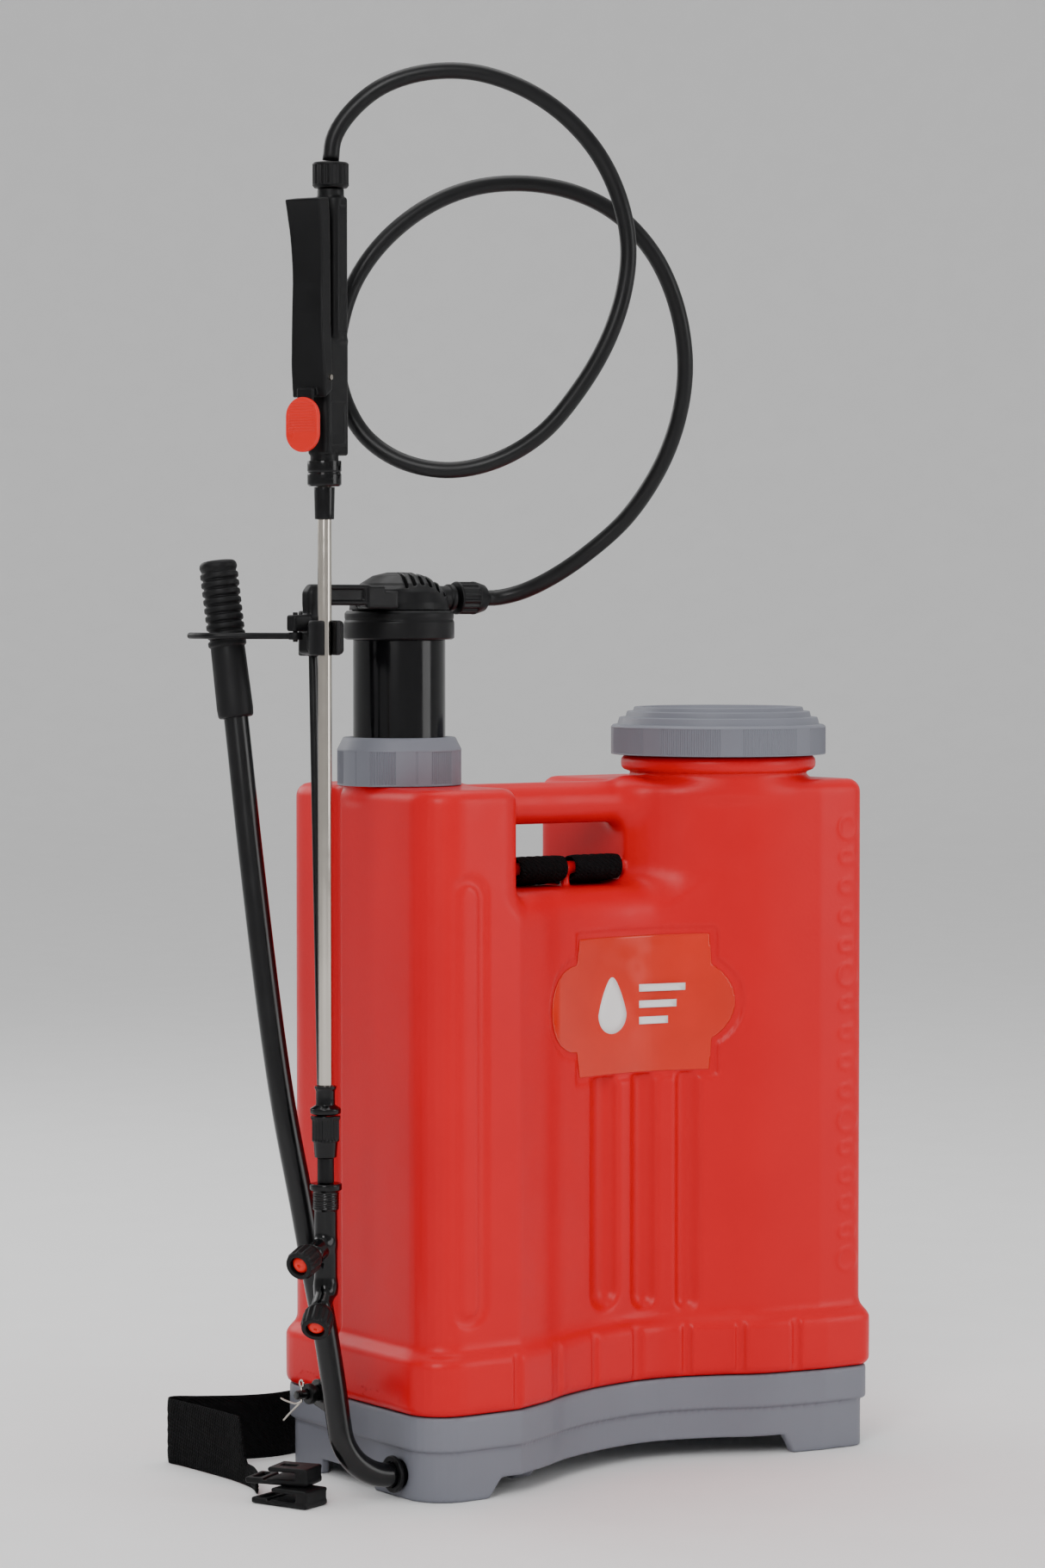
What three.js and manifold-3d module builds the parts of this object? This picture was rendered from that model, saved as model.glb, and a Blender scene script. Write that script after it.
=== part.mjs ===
// Knapsack sprayer with a side lever, an outside air chamber and a clipped-on trigger lance.
// Millimetres, +Z up, +X to the right, +Y towards the wearer's back; the label panel faces -Y.
// Shapes are worked out in a frame on the floor under the middle of the tank. The finished group
// is then moved so that the middle of the object's box, without the hose, stands over the origin.

import * as THREE from "three";
import { mergeVertices } from "three/addons/utils/BufferGeometryUtils.js";
import Module from "manifold-3d";

const wasm = await Module();
wasm.setup();

// ---------------------------------------------------------------- driving dimensions

const GAP = 0.3;

const tank = {
  width: 375,
  depth: 195,
  foot: 56,
  bandTop: 95,
  shelf: 386,
  top: 459,
  wall: 2.5,
  inset: 8,
  corner: 30,
  rightCorner: 14,
  backInset: 4,
  rightInset: 4,
};
const tankLeft = -185;
const tankRight = tankLeft + tank.width;
const tankFront = -tank.depth / 2;
const bodyLeft = tankLeft + tank.inset;
const bodyFront = tankFront + tank.inset;
const columnRight = -102;
const tower = { left: 28 };
const handleBar = { y: -7.5, z: 445, radius: 14 };
const strapBar = { y: -12.5, z: 401.5, radius: 4.3 };
const strapPost = { x: -19, halfWidth: 2.4 };

const pump = { x: -141, y: 3.5 };
const filler = { x: 110, y: -12.5, neckBore: 51, neckRadius: 59, ringRadius: 67, capRadius: 73.8 };
const collar = { radius: 41, low: tank.top + 0.4, high: 491 };
const pumpNeck = { radius: 36, top: 472 };
const chamber = { radius: 30.5, bore: 27, low: 262, high: 572 };
const cylinder = { radius: 33, bore: 31.3, low: 118, top: 477.6 };
const rodChannel = { front: 21, back: 34, depth: 4.2, wall: 2.2 };

const shaft = { y: -55.9, z: 16, radius: 8 };
const leverTilt = THREE.MathUtils.degToRad(8);
const crankPin = { y: -17.5, z: 66.7, radius: 3 };
const rodTop = { x: -221, z: 556 };
const rodBottomX = -211.5;
const rodRadius = 2.9;

const lance = { x: -239.3, y: -61.5, radius: 4.45 };
const handleTurn = THREE.MathUtils.degToRad(26);
const handleOffset = 8;

const clip = { low: 546, high: 568 };
const hook = { x: -243, y: -32, z: 563.2 };
const outletZ = 582.4;

const hoseRadius = 5.3;
const strapWidth = 38.5;
const webbing = 2.2;

// ---------------------------------------------------------------- materials

function plastic(color, roughness) {
  return new THREE.MeshStandardMaterial({ color, roughness, metalness: 0 });
}

const materials = {
  red: plastic(0xd8141f, 0.38),
  grey: plastic(0x85858e, 0.5),
  black: plastic(0x1b1b1d, 0.5),
  glossBlack: plastic(0x0c0c0d, 0.15),
  orange: plastic(0xe5371f, 0.35),
  rubber: plastic(0x18181a, 0.7),
  webbing: plastic(0x141415, 0.95),
  clear: plastic(0xd9dcd6, 0.4),
  steel: new THREE.MeshStandardMaterial({ color: 0xb9b6b0, roughness: 0.25, metalness: 1 }),
  painted: new THREE.MeshStandardMaterial({ color: 0x151517, roughness: 0.3, metalness: 0.4 }),
};

// ---------------------------------------------------------------- solids and booleans

function asSolid(geometry) {
  const bare = geometry.clone();
  for (const name of Object.keys(bare.attributes)) {
    if (name !== "position") bare.deleteAttribute(name);
  }
  const merged = mergeVertices(bare, 1e-3);
  const index = merged.index.array;
  const faces = [];
  for (let i = 0; i < index.length; i += 3) {
    const [a, b, c] = [index[i], index[i + 1], index[i + 2]];
    if (a !== b && b !== c && a !== c) faces.push(a, b, c);
  }
  return new wasm.Manifold(new wasm.Mesh({
    numProp: 3,
    vertProperties: Float32Array.from(merged.attributes.position.array),
    triVerts: Uint32Array.from(faces),
  }));
}

function asGeometry(solid) {
  const mesh = solid.getMesh();
  const geometry = new THREE.BufferGeometry();
  geometry.setAttribute("position", new THREE.BufferAttribute(mesh.vertProperties, 3));
  geometry.setIndex(new THREE.BufferAttribute(mesh.triVerts, 1));
  geometry.computeVertexNormals();
  return geometry;
}

function join(...geometries) {
  const solids = geometries.map(asSolid);
  return asGeometry(solids.reduce((sum, solid) => sum.add(solid)));
}

function cut(body, ...tools) {
  return asGeometry(tools.map(asSolid).reduce((rest, tool) => rest.subtract(tool), asSolid(body)));
}

function common(one, other) {
  return asGeometry(asSolid(one).intersect(asSolid(other)));
}

// ---------------------------------------------------------------- basic shapes

function box(low, high) {
  const size = high.map((value, axis) => value - low[axis]);
  const geometry = new THREE.BoxGeometry(...size);
  return geometry.translate(...low.map((value, axis) => value + size[axis] / 2));
}

// An upright turned body. The profile is a closed list of [radius, z] or starts and ends on the axis,
// and may run either way round.
function turned(profile, x, y, sides = 24) {
  const points = profile.map(([radius, z]) => new THREE.Vector2(radius, z));
  if (THREE.ShapeUtils.area(points) < 0) points.reverse();
  const geometry = new THREE.LatheGeometry(points, sides);
  return geometry.rotateX(Math.PI / 2).translate(x, y, 0);
}

function post(radius, low, high, x, y, sides = 24) {
  return turned([[0, low], [radius, low], [radius, high], [0, high]], x, y, sides);
}

function ring(inner, outer, low, high, x, y, sides = 24) {
  return turned([[inner, low], [outer, low], [outer, high], [inner, high], [inner, low]], x, y, sides);
}

// A round bar along X.
function crossBar(radius, from, to, y, z, sides = 20) {
  const geometry = new THREE.CylinderGeometry(radius, radius, Math.abs(to - from), sides);
  return geometry.rotateZ(Math.PI / 2).translate((from + to) / 2, y, z);
}

// A round bar between two points.
function bar(radius, from, to, sides = 16) {
  const start = new THREE.Vector3(...from);
  const end = new THREE.Vector3(...to);
  const along = end.clone().sub(start);
  const geometry = new THREE.CylinderGeometry(radius, radius, along.length(), sides);
  const up = new THREE.Vector3(0, 1, 0);
  const turn = new THREE.Quaternion().setFromUnitVectors(up, along.clone().normalize());
  const middle = start.add(end).multiplyScalar(0.5);
  return geometry.applyQuaternion(turn).translate(middle.x, middle.y, middle.z);
}

// A round tube or rod along a smooth curve through the points.
function swept(radius, points, steps, sides) {
  const knots = points.map((point) => new THREE.Vector3(...point));
  const curve = new THREE.CatmullRomCurve3(knots, false, "centripetal");
  const section = new THREE.Shape();
  section.absarc(0, 0, radius, 0, 2 * Math.PI);
  const settings = { extrudePath: curve, steps, curveSegments: sides / 2, bevelEnabled: false };
  return new THREE.ExtrudeGeometry(section, settings);
}

// A flat outline in X and Y, raised from low to high.
function slab(shape, low, high, curveSegments = 4) {
  const depth = high - low;
  const geometry = new THREE.ExtrudeGeometry(shape, { depth, curveSegments, bevelEnabled: false });
  return geometry.translate(0, 0, low);
}

// A flat outline given in Y and Z, as wide as from left to right along X.
function sidePlate(shape, left, right, curveSegments = 8) {
  const depth = right - left;
  const geometry = new THREE.ExtrudeGeometry(shape, { depth, curveSegments, bevelEnabled: false });
  return geometry.rotateY(Math.PI / 2).rotateX(Math.PI / 2).translate(left, 0, 0);
}

function stadium(width, height) {
  const shape = new THREE.Shape();
  const radius = width / 2;
  const rise = height / 2 - radius;
  shape.absarc(0, rise, radius, 0, Math.PI);
  shape.absarc(0, -rise, radius, Math.PI, 2 * Math.PI);
  return shape;
}

function roundedRectangle(left, front, right, back, radius) {
  const shape = new THREE.Shape();
  shape.absarc(right - radius, back - radius, radius, 0, Math.PI / 2);
  shape.absarc(left + radius, back - radius, radius, Math.PI / 2, Math.PI);
  shape.absarc(left + radius, front + radius, radius, Math.PI, 1.5 * Math.PI);
  shape.absarc(right - radius, front + radius, radius, 1.5 * Math.PI, 2 * Math.PI);
  return shape;
}

// A flat band of even thickness along a curve in the plane.
function bandShape(points, thickness, divisions) {
  const knots = points.map(([a, b]) => new THREE.Vector3(a, b, 0));
  const curve = new THREE.CatmullRomCurve3(knots, false, "centripetal");
  const left = [];
  const right = [];
  for (let i = 0; i <= divisions; i += 1) {
    const point = curve.getPoint(i / divisions);
    const along = curve.getTangent(i / divisions);
    left.push(new THREE.Vector2(point.x - along.y * thickness / 2, point.y + along.x * thickness / 2));
    right.push(new THREE.Vector2(point.x + along.y * thickness / 2, point.y - along.x * thickness / 2));
  }
  return new THREE.Shape([...right, ...left.reverse()]);
}

// ---------------------------------------------------------------- the assembly

const assembly = new THREE.Group();

function add(name, geometry, material, parent = assembly) {
  const mesh = new THREE.Mesh(geometry, material);
  mesh.name = name;
  parent.add(mesh);
  return mesh;
}

// ---------------------------------------------------------------- tank

// The front is flat on the left column, sweeps in to a wide hollow and comes back on the right.
function tankOutline(inset, backInset = inset, rightInset = inset) {
  const radius = tank.corner - inset / 2;
  const left = tankLeft + inset;
  const right = tankRight - rightInset;
  const tight = tank.rightCorner - rightInset / 2;
  const front = tankFront + inset;
  const back = -tankFront - backInset;
  const valley = [[-80, 13], [-54, 27], [-13, 40], [30, 43.5], [70, 32], [100, 18], [147, 9]];
  const shape = new THREE.Shape();
  shape.moveTo(left + radius, front);
  shape.lineTo(-112 + inset / 2, front);
  shape.splineThru(valley.map(([x, depth]) => new THREE.Vector2(x, front + depth)));
  shape.absarc(right - tight, front + 8 + tight, tight, 1.5 * Math.PI, 2 * Math.PI);
  shape.absarc(right - radius, back - radius, radius, 0, Math.PI / 2);
  shape.quadraticCurveTo(0, back - 8, left + radius, back);
  shape.absarc(left + radius, back - radius, radius, Math.PI / 2, Math.PI);
  shape.absarc(left + radius, front + radius, radius, Math.PI, 1.5 * Math.PI);
  return shape;
}

// The body stands in from the bumper band, less at the back and on the right.
function bodyOutline(inset) {
  return tankOutline(tank.inset + inset, tank.backInset + inset, tank.rightInset + inset);
}

function leftColumn(inset, low, high) {
  const back = -tankFront - tank.backInset - inset;
  const right = columnRight - inset;
  const outline = roundedRectangle(bodyLeft + inset, bodyFront + inset, right, back, 20 - inset);
  return slab(outline, low, high, 4);
}

// The tower keeps the body's outline on the right and curves back behind the hollow on its left.
function rightTower(inset, low, high) {
  const left = tower.left + inset;
  const back = -tankFront - tank.backInset - inset;
  const region = new THREE.Shape();
  region.moveTo(left, back - 20);
  region.quadraticCurveTo(left, back, left + 20, back);
  region.lineTo(220, back);
  region.lineTo(220, -120);
  region.lineTo(110 + inset, -120);
  region.lineTo(100 + inset, -76);
  region.quadraticCurveTo(50 + inset, -62 + inset, left, -12);
  const outline = slab(bodyOutline(inset), low, high);
  return common(outline, slab(region, low - 1, high + 1, 5));
}

function columnTops(inset, low) {
  const high = tank.top - inset;
  return [leftColumn(inset, low, high), rightTower(inset, low, high)];
}

function carryBars() {
  const left = columnRight - 8;
  const { x, halfWidth } = strapPost;
  return [
    crossBar(handleBar.radius, left, tower.left + 12, handleBar.y, handleBar.z, 16),
    crossBar(strapBar.radius, left, tower.left + 12, strapBar.y, strapBar.z, 10),
    box([x - halfWidth, strapBar.y - 3, tank.shelf - 4], [x + halfWidth, strapBar.y + 3, strapBar.z]),
  ];
}

// The mouth for the filler cap, the neck for the pump, and the bores through both.
function necks() {
  const { x, y, neckRadius, ringRadius } = filler;
  return [
    post(neckRadius, tank.top - 2, 466, x, y, 28),
    post(ringRadius, 464, 475, x, y, 28),
    post(neckRadius + 1, 474, 487, x, y, 28),
    post(pumpNeck.radius, tank.top - 2, pumpNeck.top, pump.x, pump.y),
  ];
}

function bores() {
  const { foot, wall } = tank;
  return [
    post(filler.neckBore, tank.top - 8, 500, filler.x, filler.y, 28),
    post(cylinder.radius + 0.6, foot + wall, 500, pump.x, pump.y),
  ];
}

function tankShell() {
  const { wall, foot, shelf, bandTop, top } = tank;
  const columnFoot = shelf - 20;
  const { front, back, depth } = rodChannel;
  const outside = join(
    slab(bodyOutline(0), foot, shelf),
    slab(tankOutline(0), foot, bandTop),
    ...columnTops(0, columnFoot),
    ...carryBars(),
    ...necks(),
  );
  const cavity = join(
    slab(bodyOutline(wall), foot + wall, shelf - wall),
    ...columnTops(wall, columnFoot),
    ...bores(),
  );
  const shield = box(
    [bodyLeft - 5, front - rodChannel.wall, bandTop - rodChannel.wall],
    [bodyLeft + depth + rodChannel.wall, back + rodChannel.wall, top],
  );
  const channel = box([bodyLeft - 5, front, bandTop], [bodyLeft + depth, back, top + 5]);
  return cut(outside, cut(cavity, shield), channel);
}

// ---------------------------------------------------------------- base

function baseFoot() {
  const top = tank.foot - GAP;
  const outside = join(slab(tankOutline(2), 33, top, 3), slab(tankOutline(5), 0, 34, 3));
  const hollow = slab(tankOutline(12), -5, top - 4, 2);
  const frontArch = new THREE.Shape();
  frontArch.moveTo(-138, -5);
  frontArch.lineTo(-124, 13);
  frontArch.lineTo(118, 13);
  frontArch.lineTo(128, -5);
  const throughY = new THREE.ExtrudeGeometry(frontArch, { depth: 260, bevelEnabled: false });
  throughY.rotateX(Math.PI / 2).translate(0, 130, 0);
  const throughX = box([-200, -25, -5], [200, 40, 10]);
  const skirt = cut(outside, hollow, throughY, throughX);
  const bosses = join(skirt, ...[-176, -95].map((left) => bearingBoss(left, top)));
  return cut(bosses, crossBar(shaft.radius + 0.8, -200, -76, shaft.y, shaft.z, 16));
}

// A bearing for the lever's shaft, hung from the top of the base.
function bearingBoss(left, top) {
  const web = box([left, shaft.y - 9, shaft.z], [left + 14, shaft.y + 9, top - 1]);
  return join(crossBar(13, left, left + 14, shaft.y, shaft.z, 18), web);
}

// ---------------------------------------------------------------- filler

function fillerCap() {
  const { capRadius: rim, neckRadius } = filler;
  const inner = neckRadius + 1.6;
  const profile = [
    [0, 501], [50, 501], [50, 491.8], [inner, 491.8], [inner, 475.6], [rim, 475.6], [rim, 494.5],
    [rim - 1.5, 496],
    [rim - 4.3, 496], [rim - 5.8, 501], [rim - 10, 501], [rim - 11, 505], [rim - 15, 505], [rim - 16, 508],
    [rim - 20, 508], [rim - 22, 505], [0, 505],
  ];
  return turned(profile, filler.x, filler.y, 28);
}

function capGasket() {
  return ring(51.5, filler.neckRadius + 0.7, 489.1, 491.5, filler.x, filler.y, 28);
}

function breatherValve() {
  return turned([[0, 492], [9, 492], [9, 497], [4, 500.7], [0, 500.7]], filler.x, filler.y, 14);
}

function strainerBasket() {
  const wall = 1.6;
  const radius = 44;
  const low = 396;
  const profile = [
    [0, low], [radius - 3, low], [radius, low + 6], [radius, 487.4], [57, 487.4], [57, 488.8],
    [radius - wall, 488.8], [radius - wall, low + 6], [radius - 4, low + wall], [0, low + wall],
  ];
  return turned(profile, filler.x, filler.y, 28);
}

// ---------------------------------------------------------------- pump

function collarNut() {
  const { radius, low, high } = collar;
  const inner = chamber.radius + 1.2;
  const thread = pumpNeck.radius + GAP;
  const profile = [
    [thread, low], [radius, low], [radius, 483], [radius - 2, 487], [radius - 4, high], [inner, high],
    [inner, cylinder.top + GAP], [thread, cylinder.top + GAP], [thread, low],
  ];
  return turned(profile, pump.x, pump.y);
}

function cylinderSeal() {
  return ring(cylinder.radius + 0.4, pumpNeck.radius, pumpNeck.top + 0.2, pumpNeck.top + 2.2, pump.x, pump.y);
}

function pumpCylinder() {
  const { radius, bore, low, top } = cylinder;
  const profile = [
    [10, low], [radius, low], [radius, top - 3], [pumpNeck.radius, top - 3],
    [pumpNeck.radius, top], [bore, top],
    [bore, low + 5], [10, low + 5], [10, low],
  ];
  return turned(profile, pump.x, pump.y);
}

function footValve() {
  return turned([
    [4.6, 100], [12, 100], [12, 117.7], [9.6, 117.7], [9.6, 124], [6.5, 124], [6.5, 119],
    [4.6, 117], [4.6, 100],
  ], pump.x, pump.y, 16);
}

function airChamber() {
  const { radius, bore, low, high } = chamber;
  const profile = [
    [6, low], [radius, low], [radius, high], [bore, high], [bore, low + 5], [6, low + 5], [6, low],
  ];
  return turned(profile, pump.x, pump.y);
}

function pumpHead() {
  const dome = turned([
    [0, 572.3], [30.3, 572.3], [30.3, 574.3], [33, 574.3], [32.5, 579], [30, 586], [25, 592],
    [17, 597], [8, 599],
    [0, 599.4],
  ], pump.x, pump.y);
  const line = pump.y - 1.5;
  const outlet = crossBar(8, pump.x + 20, pump.x + 42, line, outletZ, 14);
  const spigot = crossBar(5.2, pump.x + 41, pump.x + 64, line, outletZ, 12);
  const boss = box([pump.x - 36, -21.3, 577], [pump.x - 10, pump.y, 588.5]);
  const passage = post(24, 560, 584, pump.x, pump.y);
  const outletBore = crossBar(2.6, pump.x, pump.x + 70, line, outletZ, 8);
  return cut(join(dome, outlet, spigot, boss), passage, outletBore);
}

function outletNut() {
  const profile = [[5.5, 43], [10.4, 43], [11, 44], [11, 58], [9, 65], [5.5, 65], [5.5, 43]];
  const points = profile.map(([radius, along]) => new THREE.Vector2(radius, along));
  const geometry = new THREE.LatheGeometry(points, 12);
  return geometry.rotateZ(-Math.PI / 2).translate(pump.x, pump.y - 1.5, outletZ);
}

// The arm is clamped to the head's boss, bends down to the rod's socket and holds the lance in a clip.
function pumpArm() {
  const { low, high } = clip;
  const clipBore = lance.radius + 0.35;
  const solid = join(
    box([-235, -43, low], [-212, -21, high]),
    bar(9.2, [rodTop.x, crankPin.y, low - 1], [rodTop.x, crankPin.y, high + 6], 18),
    box([rodTop.x - 9, -30, low], [rodTop.x + 9, crankPin.y, high]),
    box([-234, -35, 560], [-222, -24, 588]),
    box([-231, -34, 577.5], [-186, -25, 591]),
    box([-190, -34.5, 575.5], [-165.5, -21.6, 590]),
    ring(clipBore, 10.2, low, high, lance.x, lance.y, 20),
    box([-240, -54, low + 2], [-226, -40, high - 2]),
    box([-247, -37, 561], [-233, -27, 571.5]),
  );
  const rodSlot = roundedRectangle(-rodRadius - 1, -rodRadius - 3.4, rodRadius + 1, rodRadius + 3.4, 3);
  const slot = slab(rodSlot, low - 6, rodTop.z + 4, 3).translate(rodTop.x, crankPin.y, 0);
  const mouth = box([lance.x - 5, lance.y - 20, low - 6], [lance.x + 3, lance.y, high + 7]);
  const lanceBore = post(clipBore, low - 6, high + 7, lance.x, lance.y, 20);
  const hingeHole = post(1.9, 555, 575, hook.x, hook.y, 10);
  return cut(solid, slot, mouth, lanceBore, hingeHole);
}

// ---------------------------------------------------------------- keeper hook

// A wire in front of the grip with a short end on its far side; it is open to the back.
function keeperHook() {
  const wire = swept(2.1, [
    [hook.x, hook.y, hook.z - 5.2], [hook.x - 6, hook.y + 9, hook.z - 5.2], [-262, -5, hook.z - 5.2],
    [-273, 3, hook.z - 5.2], [-281, 10, hook.z - 5.2], [-283.5, 22, hook.z - 5.2], [-283, 34, hook.z - 5.2],
  ], 16, 6);
  const pivot = post(1.6, hook.z - 9, hook.z + 10, hook.x, hook.y, 10);
  const eye = post(4.5, hook.z - 7.6, hook.z - 2.8, hook.x, hook.y, 14);
  return join(wire, pivot, eye);
}

// ---------------------------------------------------------------- hand lever

// A point on the lever's centre line: out along the arm from the shaft, and across to x.
function onLever(reach, x) {
  return [x, shaft.y + reach * Math.sin(leverTilt), shaft.z + reach * Math.cos(leverTilt)];
}

function leverTube() {
  const bend = 36;
  const straight = [-79, -105, -130, -170, -187].map((x) => onLever(0, x));
  const arc = [20, 45, 70].map((angle) => {
    const turn = THREE.MathUtils.degToRad(angle);
    return onLever(bend * (1 - Math.cos(turn)), -187 - bend * Math.sin(turn));
  });
  const arm = [[38, -223], [60, -224.5], [97, -228], [135, -233], [180, -238.5], [236, -246], [292, -251],
    [404, -257], [496, -260.5], [583, -265]].map(([reach, x]) => onLever(reach, x));
  return swept(shaft.radius, [...straight, ...arc, ...arm], 34, 10);
}

function leverGrip() {
  const from = onLever(494, -260.4);
  const to = onLever(596, -265.6);
  const bore = bar(shaft.radius + GAP, onLever(480, -259.8), onLever(584.5, -265), 16);
  return cut(bar(12.5, from, to, 20), bore);
}

function crankLug() {
  const plate = (y, z) => crossBar(9, -219, -215, y, z, 20);
  const root = plate(-41, 60);
  const tip = plate(crankPin.y, crankPin.z);
  const web = new THREE.Shape([
    new THREE.Vector2(-43, 51.5), new THREE.Vector2(-17, 57.8),
    new THREE.Vector2(-18, 75.6), new THREE.Vector2(-41, 69),
  ]);
  const solid = join(root, tip, sidePlate(web, -219, -215));
  const bore = crossBar(crankPin.radius + 0.25, -225, -210, crankPin.y, crankPin.z, 14);
  const tubeRoom = leverRoom();
  return cut(solid, bore, tubeRoom);
}

function leverRoom() {
  return bar(shaft.radius + GAP + 0.2, onLever(34, -222.6), onLever(66, -225), 20);
}

function crankPinShape() {
  const { y, z, radius } = crankPin;
  const body = join(crossBar(radius, -204.5, -235, y, z, 14), crossBar(4.6, -204.5, -206.8, y, z, 16));
  return cut(body, bar(1, [-230.5, y, z - 8], [-230.5, y, z + 8], 8));
}

function crankRing(inner, outer, from, to) {
  const { y, z } = crankPin;
  return cut(crossBar(outer, from, to, y, z, 18), crossBar(inner, from + 2, to - 2, y, z, 14));
}

function splitPin() {
  const { y, z } = crankPin;
  const x = -230.5;
  const leg = [x, y, z - 4.2];
  return join(
    bar(0.75, [x, y, z - 5], [x, y, z + 6], 8),
    swept(0.6, [leg, [x - 3, y + 2, z - 8], [x - 6, y + 6, z - 13], [x - 9, y + 8, z - 17]], 5, 6),
    swept(0.6, [leg, [x - 2, y + 3, z - 6], [x - 5, y + 12, z - 5], [x - 6, y + 16, z - 4]], 5, 6),
    new THREE.TorusGeometry(2.2, 0.75, 5, 10).rotateY(Math.PI / 2).translate(x, y, z + 7.2),
  );
}

// ---------------------------------------------------------------- pump rod

function pumpRod() {
  const { y, z } = crankPin;
  const eye = crossBar(7, -214.6, -207.2, y, z, 20);
  const rod = bar(rodRadius, [rodBottomX + 0.6, y, z + 3], [rodTop.x, y, rodTop.z - 2], 12);
  const end = bar(3.1, [rodTop.x + 0.1, y, rodTop.z - 8], [rodTop.x, y, rodTop.z], 12);
  return cut(join(eye, rod, end), crossBar(crankPin.radius + 0.3, -220, -200, y, z, 16));
}

// ---------------------------------------------------------------- trigger lance

function onLance(profile, sides = 18) {
  return turned(profile, lance.x, lance.y, sides);
}

// Parts of the trigger handle are drawn about the lance axis with the trigger towards -X,
// and the whole handle is then turned on the lance.
const handle = new THREE.Group();
handle.position.set(lance.x, lance.y, 0);
handle.rotation.z = handleTurn;

function handleBody() {
  const grip = slab(roundedRectangle(handleOffset - 8, -10, handleOffset + 8, 10, 6), 744, 836, 3);
  const valve = slab(roundedRectangle(-9, -8.6, handleOffset + 10, 8.6, 5), 672.5, 745, 3);
  const neck = post(8.5, 835, 841, handleOffset, 0, 16);
  const spigot = post(4.6, 841, 856, handleOffset, 0, 12);
  const foot = post(9, 664, 673, 0, 0, 16);
  const stemBore = crossBar(2.3, -20, 3, 0, 690, 10);
  const bore = post(5.2, 662, 676, 0, 0, 14);
  const pinBore = bar(2.1, [-12, -20, 721], [-12, 20, 721], 10);
  const ears = join(
    box([-14.8, -8, 714], [-6, -5.6, 726]),
    box([-14.8, 5.6, 714], [-6, 8, 726]),
  );
  return cut(join(grip, valve, neck, spigot, foot, ears), stemBore, bore, pinBore);
}

// A channel-shaped lever that stands off the body at the top, with a tongue below that carries the lock.
function triggerLever() {
  const side = new THREE.Shape();
  side.moveTo(-9.8, 713);
  side.lineTo(-18, 708);
  side.quadraticCurveTo(-22, 745, -20, 780);
  side.quadraticCurveTo(-20, 812, -27, 832);
  side.lineTo(-14, 834);
  side.quadraticCurveTo(-9, 800, -9.8, 760);
  const blank = new THREE.ExtrudeGeometry(side, { depth: 25, curveSegments: 6, bevelEnabled: false });
  blank.rotateX(Math.PI / 2).translate(0, 12.5, 0);
  const hollow = box([-16, -9, 700], [-2, 9, 815]);
  const tongue = join(box([-23.2, -6, 676], [-21, 6, 714]), box([-22, -6, 709], [-17, 6, 714]));
  const pinBore = bar(2.1, [-12, -20, 721], [-12, 20, 721], 10);
  return cut(join(cut(blank, hollow), tongue), pinBore);
}

function lockSlide() {
  const settings = { depth: 3.5, curveSegments: 8, bevelEnabled: false };
  const face = new THREE.ExtrudeGeometry(stadium(24, 34.5), settings);
  return face.rotateX(Math.PI / 2).rotateZ(-Math.PI / 2).translate(-23.6, 0, 691);
}

function valveStem() {
  return crossBar(1.9, -20.7, 1, 0, 690, 10);
}

const upperNozzle = { z: 171, way: new THREE.Vector3(-0.848, -0.448, -0.286).normalize() };
const lowerNozzle = { z: 141, way: new THREE.Vector3(-0.581, -0.571, -0.58).normalize() };

// Shapes drawn upwards from the boom's axis are turned to point along a nozzle.
function aimed(geometry, nozzle) {
  const turn = new THREE.Quaternion().setFromUnitVectors(new THREE.Vector3(0, 0, 1), nozzle.way);
  return geometry.applyQuaternion(turn).translate(lance.x, lance.y, nozzle.z);
}

function nozzleBoom() {
  const column = onLance([
    [3.4, 205.3], [3.4, 150], [0, 150], [0, 137], [5, 137.5], [7.4, 142], [7.4, 192.8], [8.5, 192.8],
    [8.5, 205.3], [10.4, 205.3], [10.4, 209.7], [3.4, 209.7], [3.4, 205.3],
  ], 14);
  const branches = [upperNozzle, lowerNozzle].map((nozzle) => join(
    aimed(post(6.4, 0, 19, 0, 0, 12), nozzle),
    aimed(post(5, 18, 23, 0, 0, 10), nozzle),
  ));
  const ball = new THREE.SphereGeometry(7.4, 10, 6).translate(lance.x, lance.y, lowerNozzle.z);
  const bore = onLance([[0, 150], [3.4, 150], [3.4, 215], [0, 215]], 14);
  return cut(join(column, ball, ...branches), bore);
}

function nozzleCap(nozzle) {
  const profile = [
    [5.3, 19.4], [8, 19.4], [10, 24], [10, 33], [8.8, 36], [6, 36], [6, 26], [5.3, 26], [5.3, 19.4],
  ];
  return aimed(turned(profile, 0, 0, 16), nozzle);
}

function nozzleInsert(nozzle) {
  const profile = [
    [0, 26.4], [5.6, 26.4], [5.6, 33], [3.4, 35], [0.8, 35.6], [0.8, 34], [0, 34],
  ];
  return aimed(turned(profile, 0, 0, 14), nozzle);
}

// ---------------------------------------------------------------- hose

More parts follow.
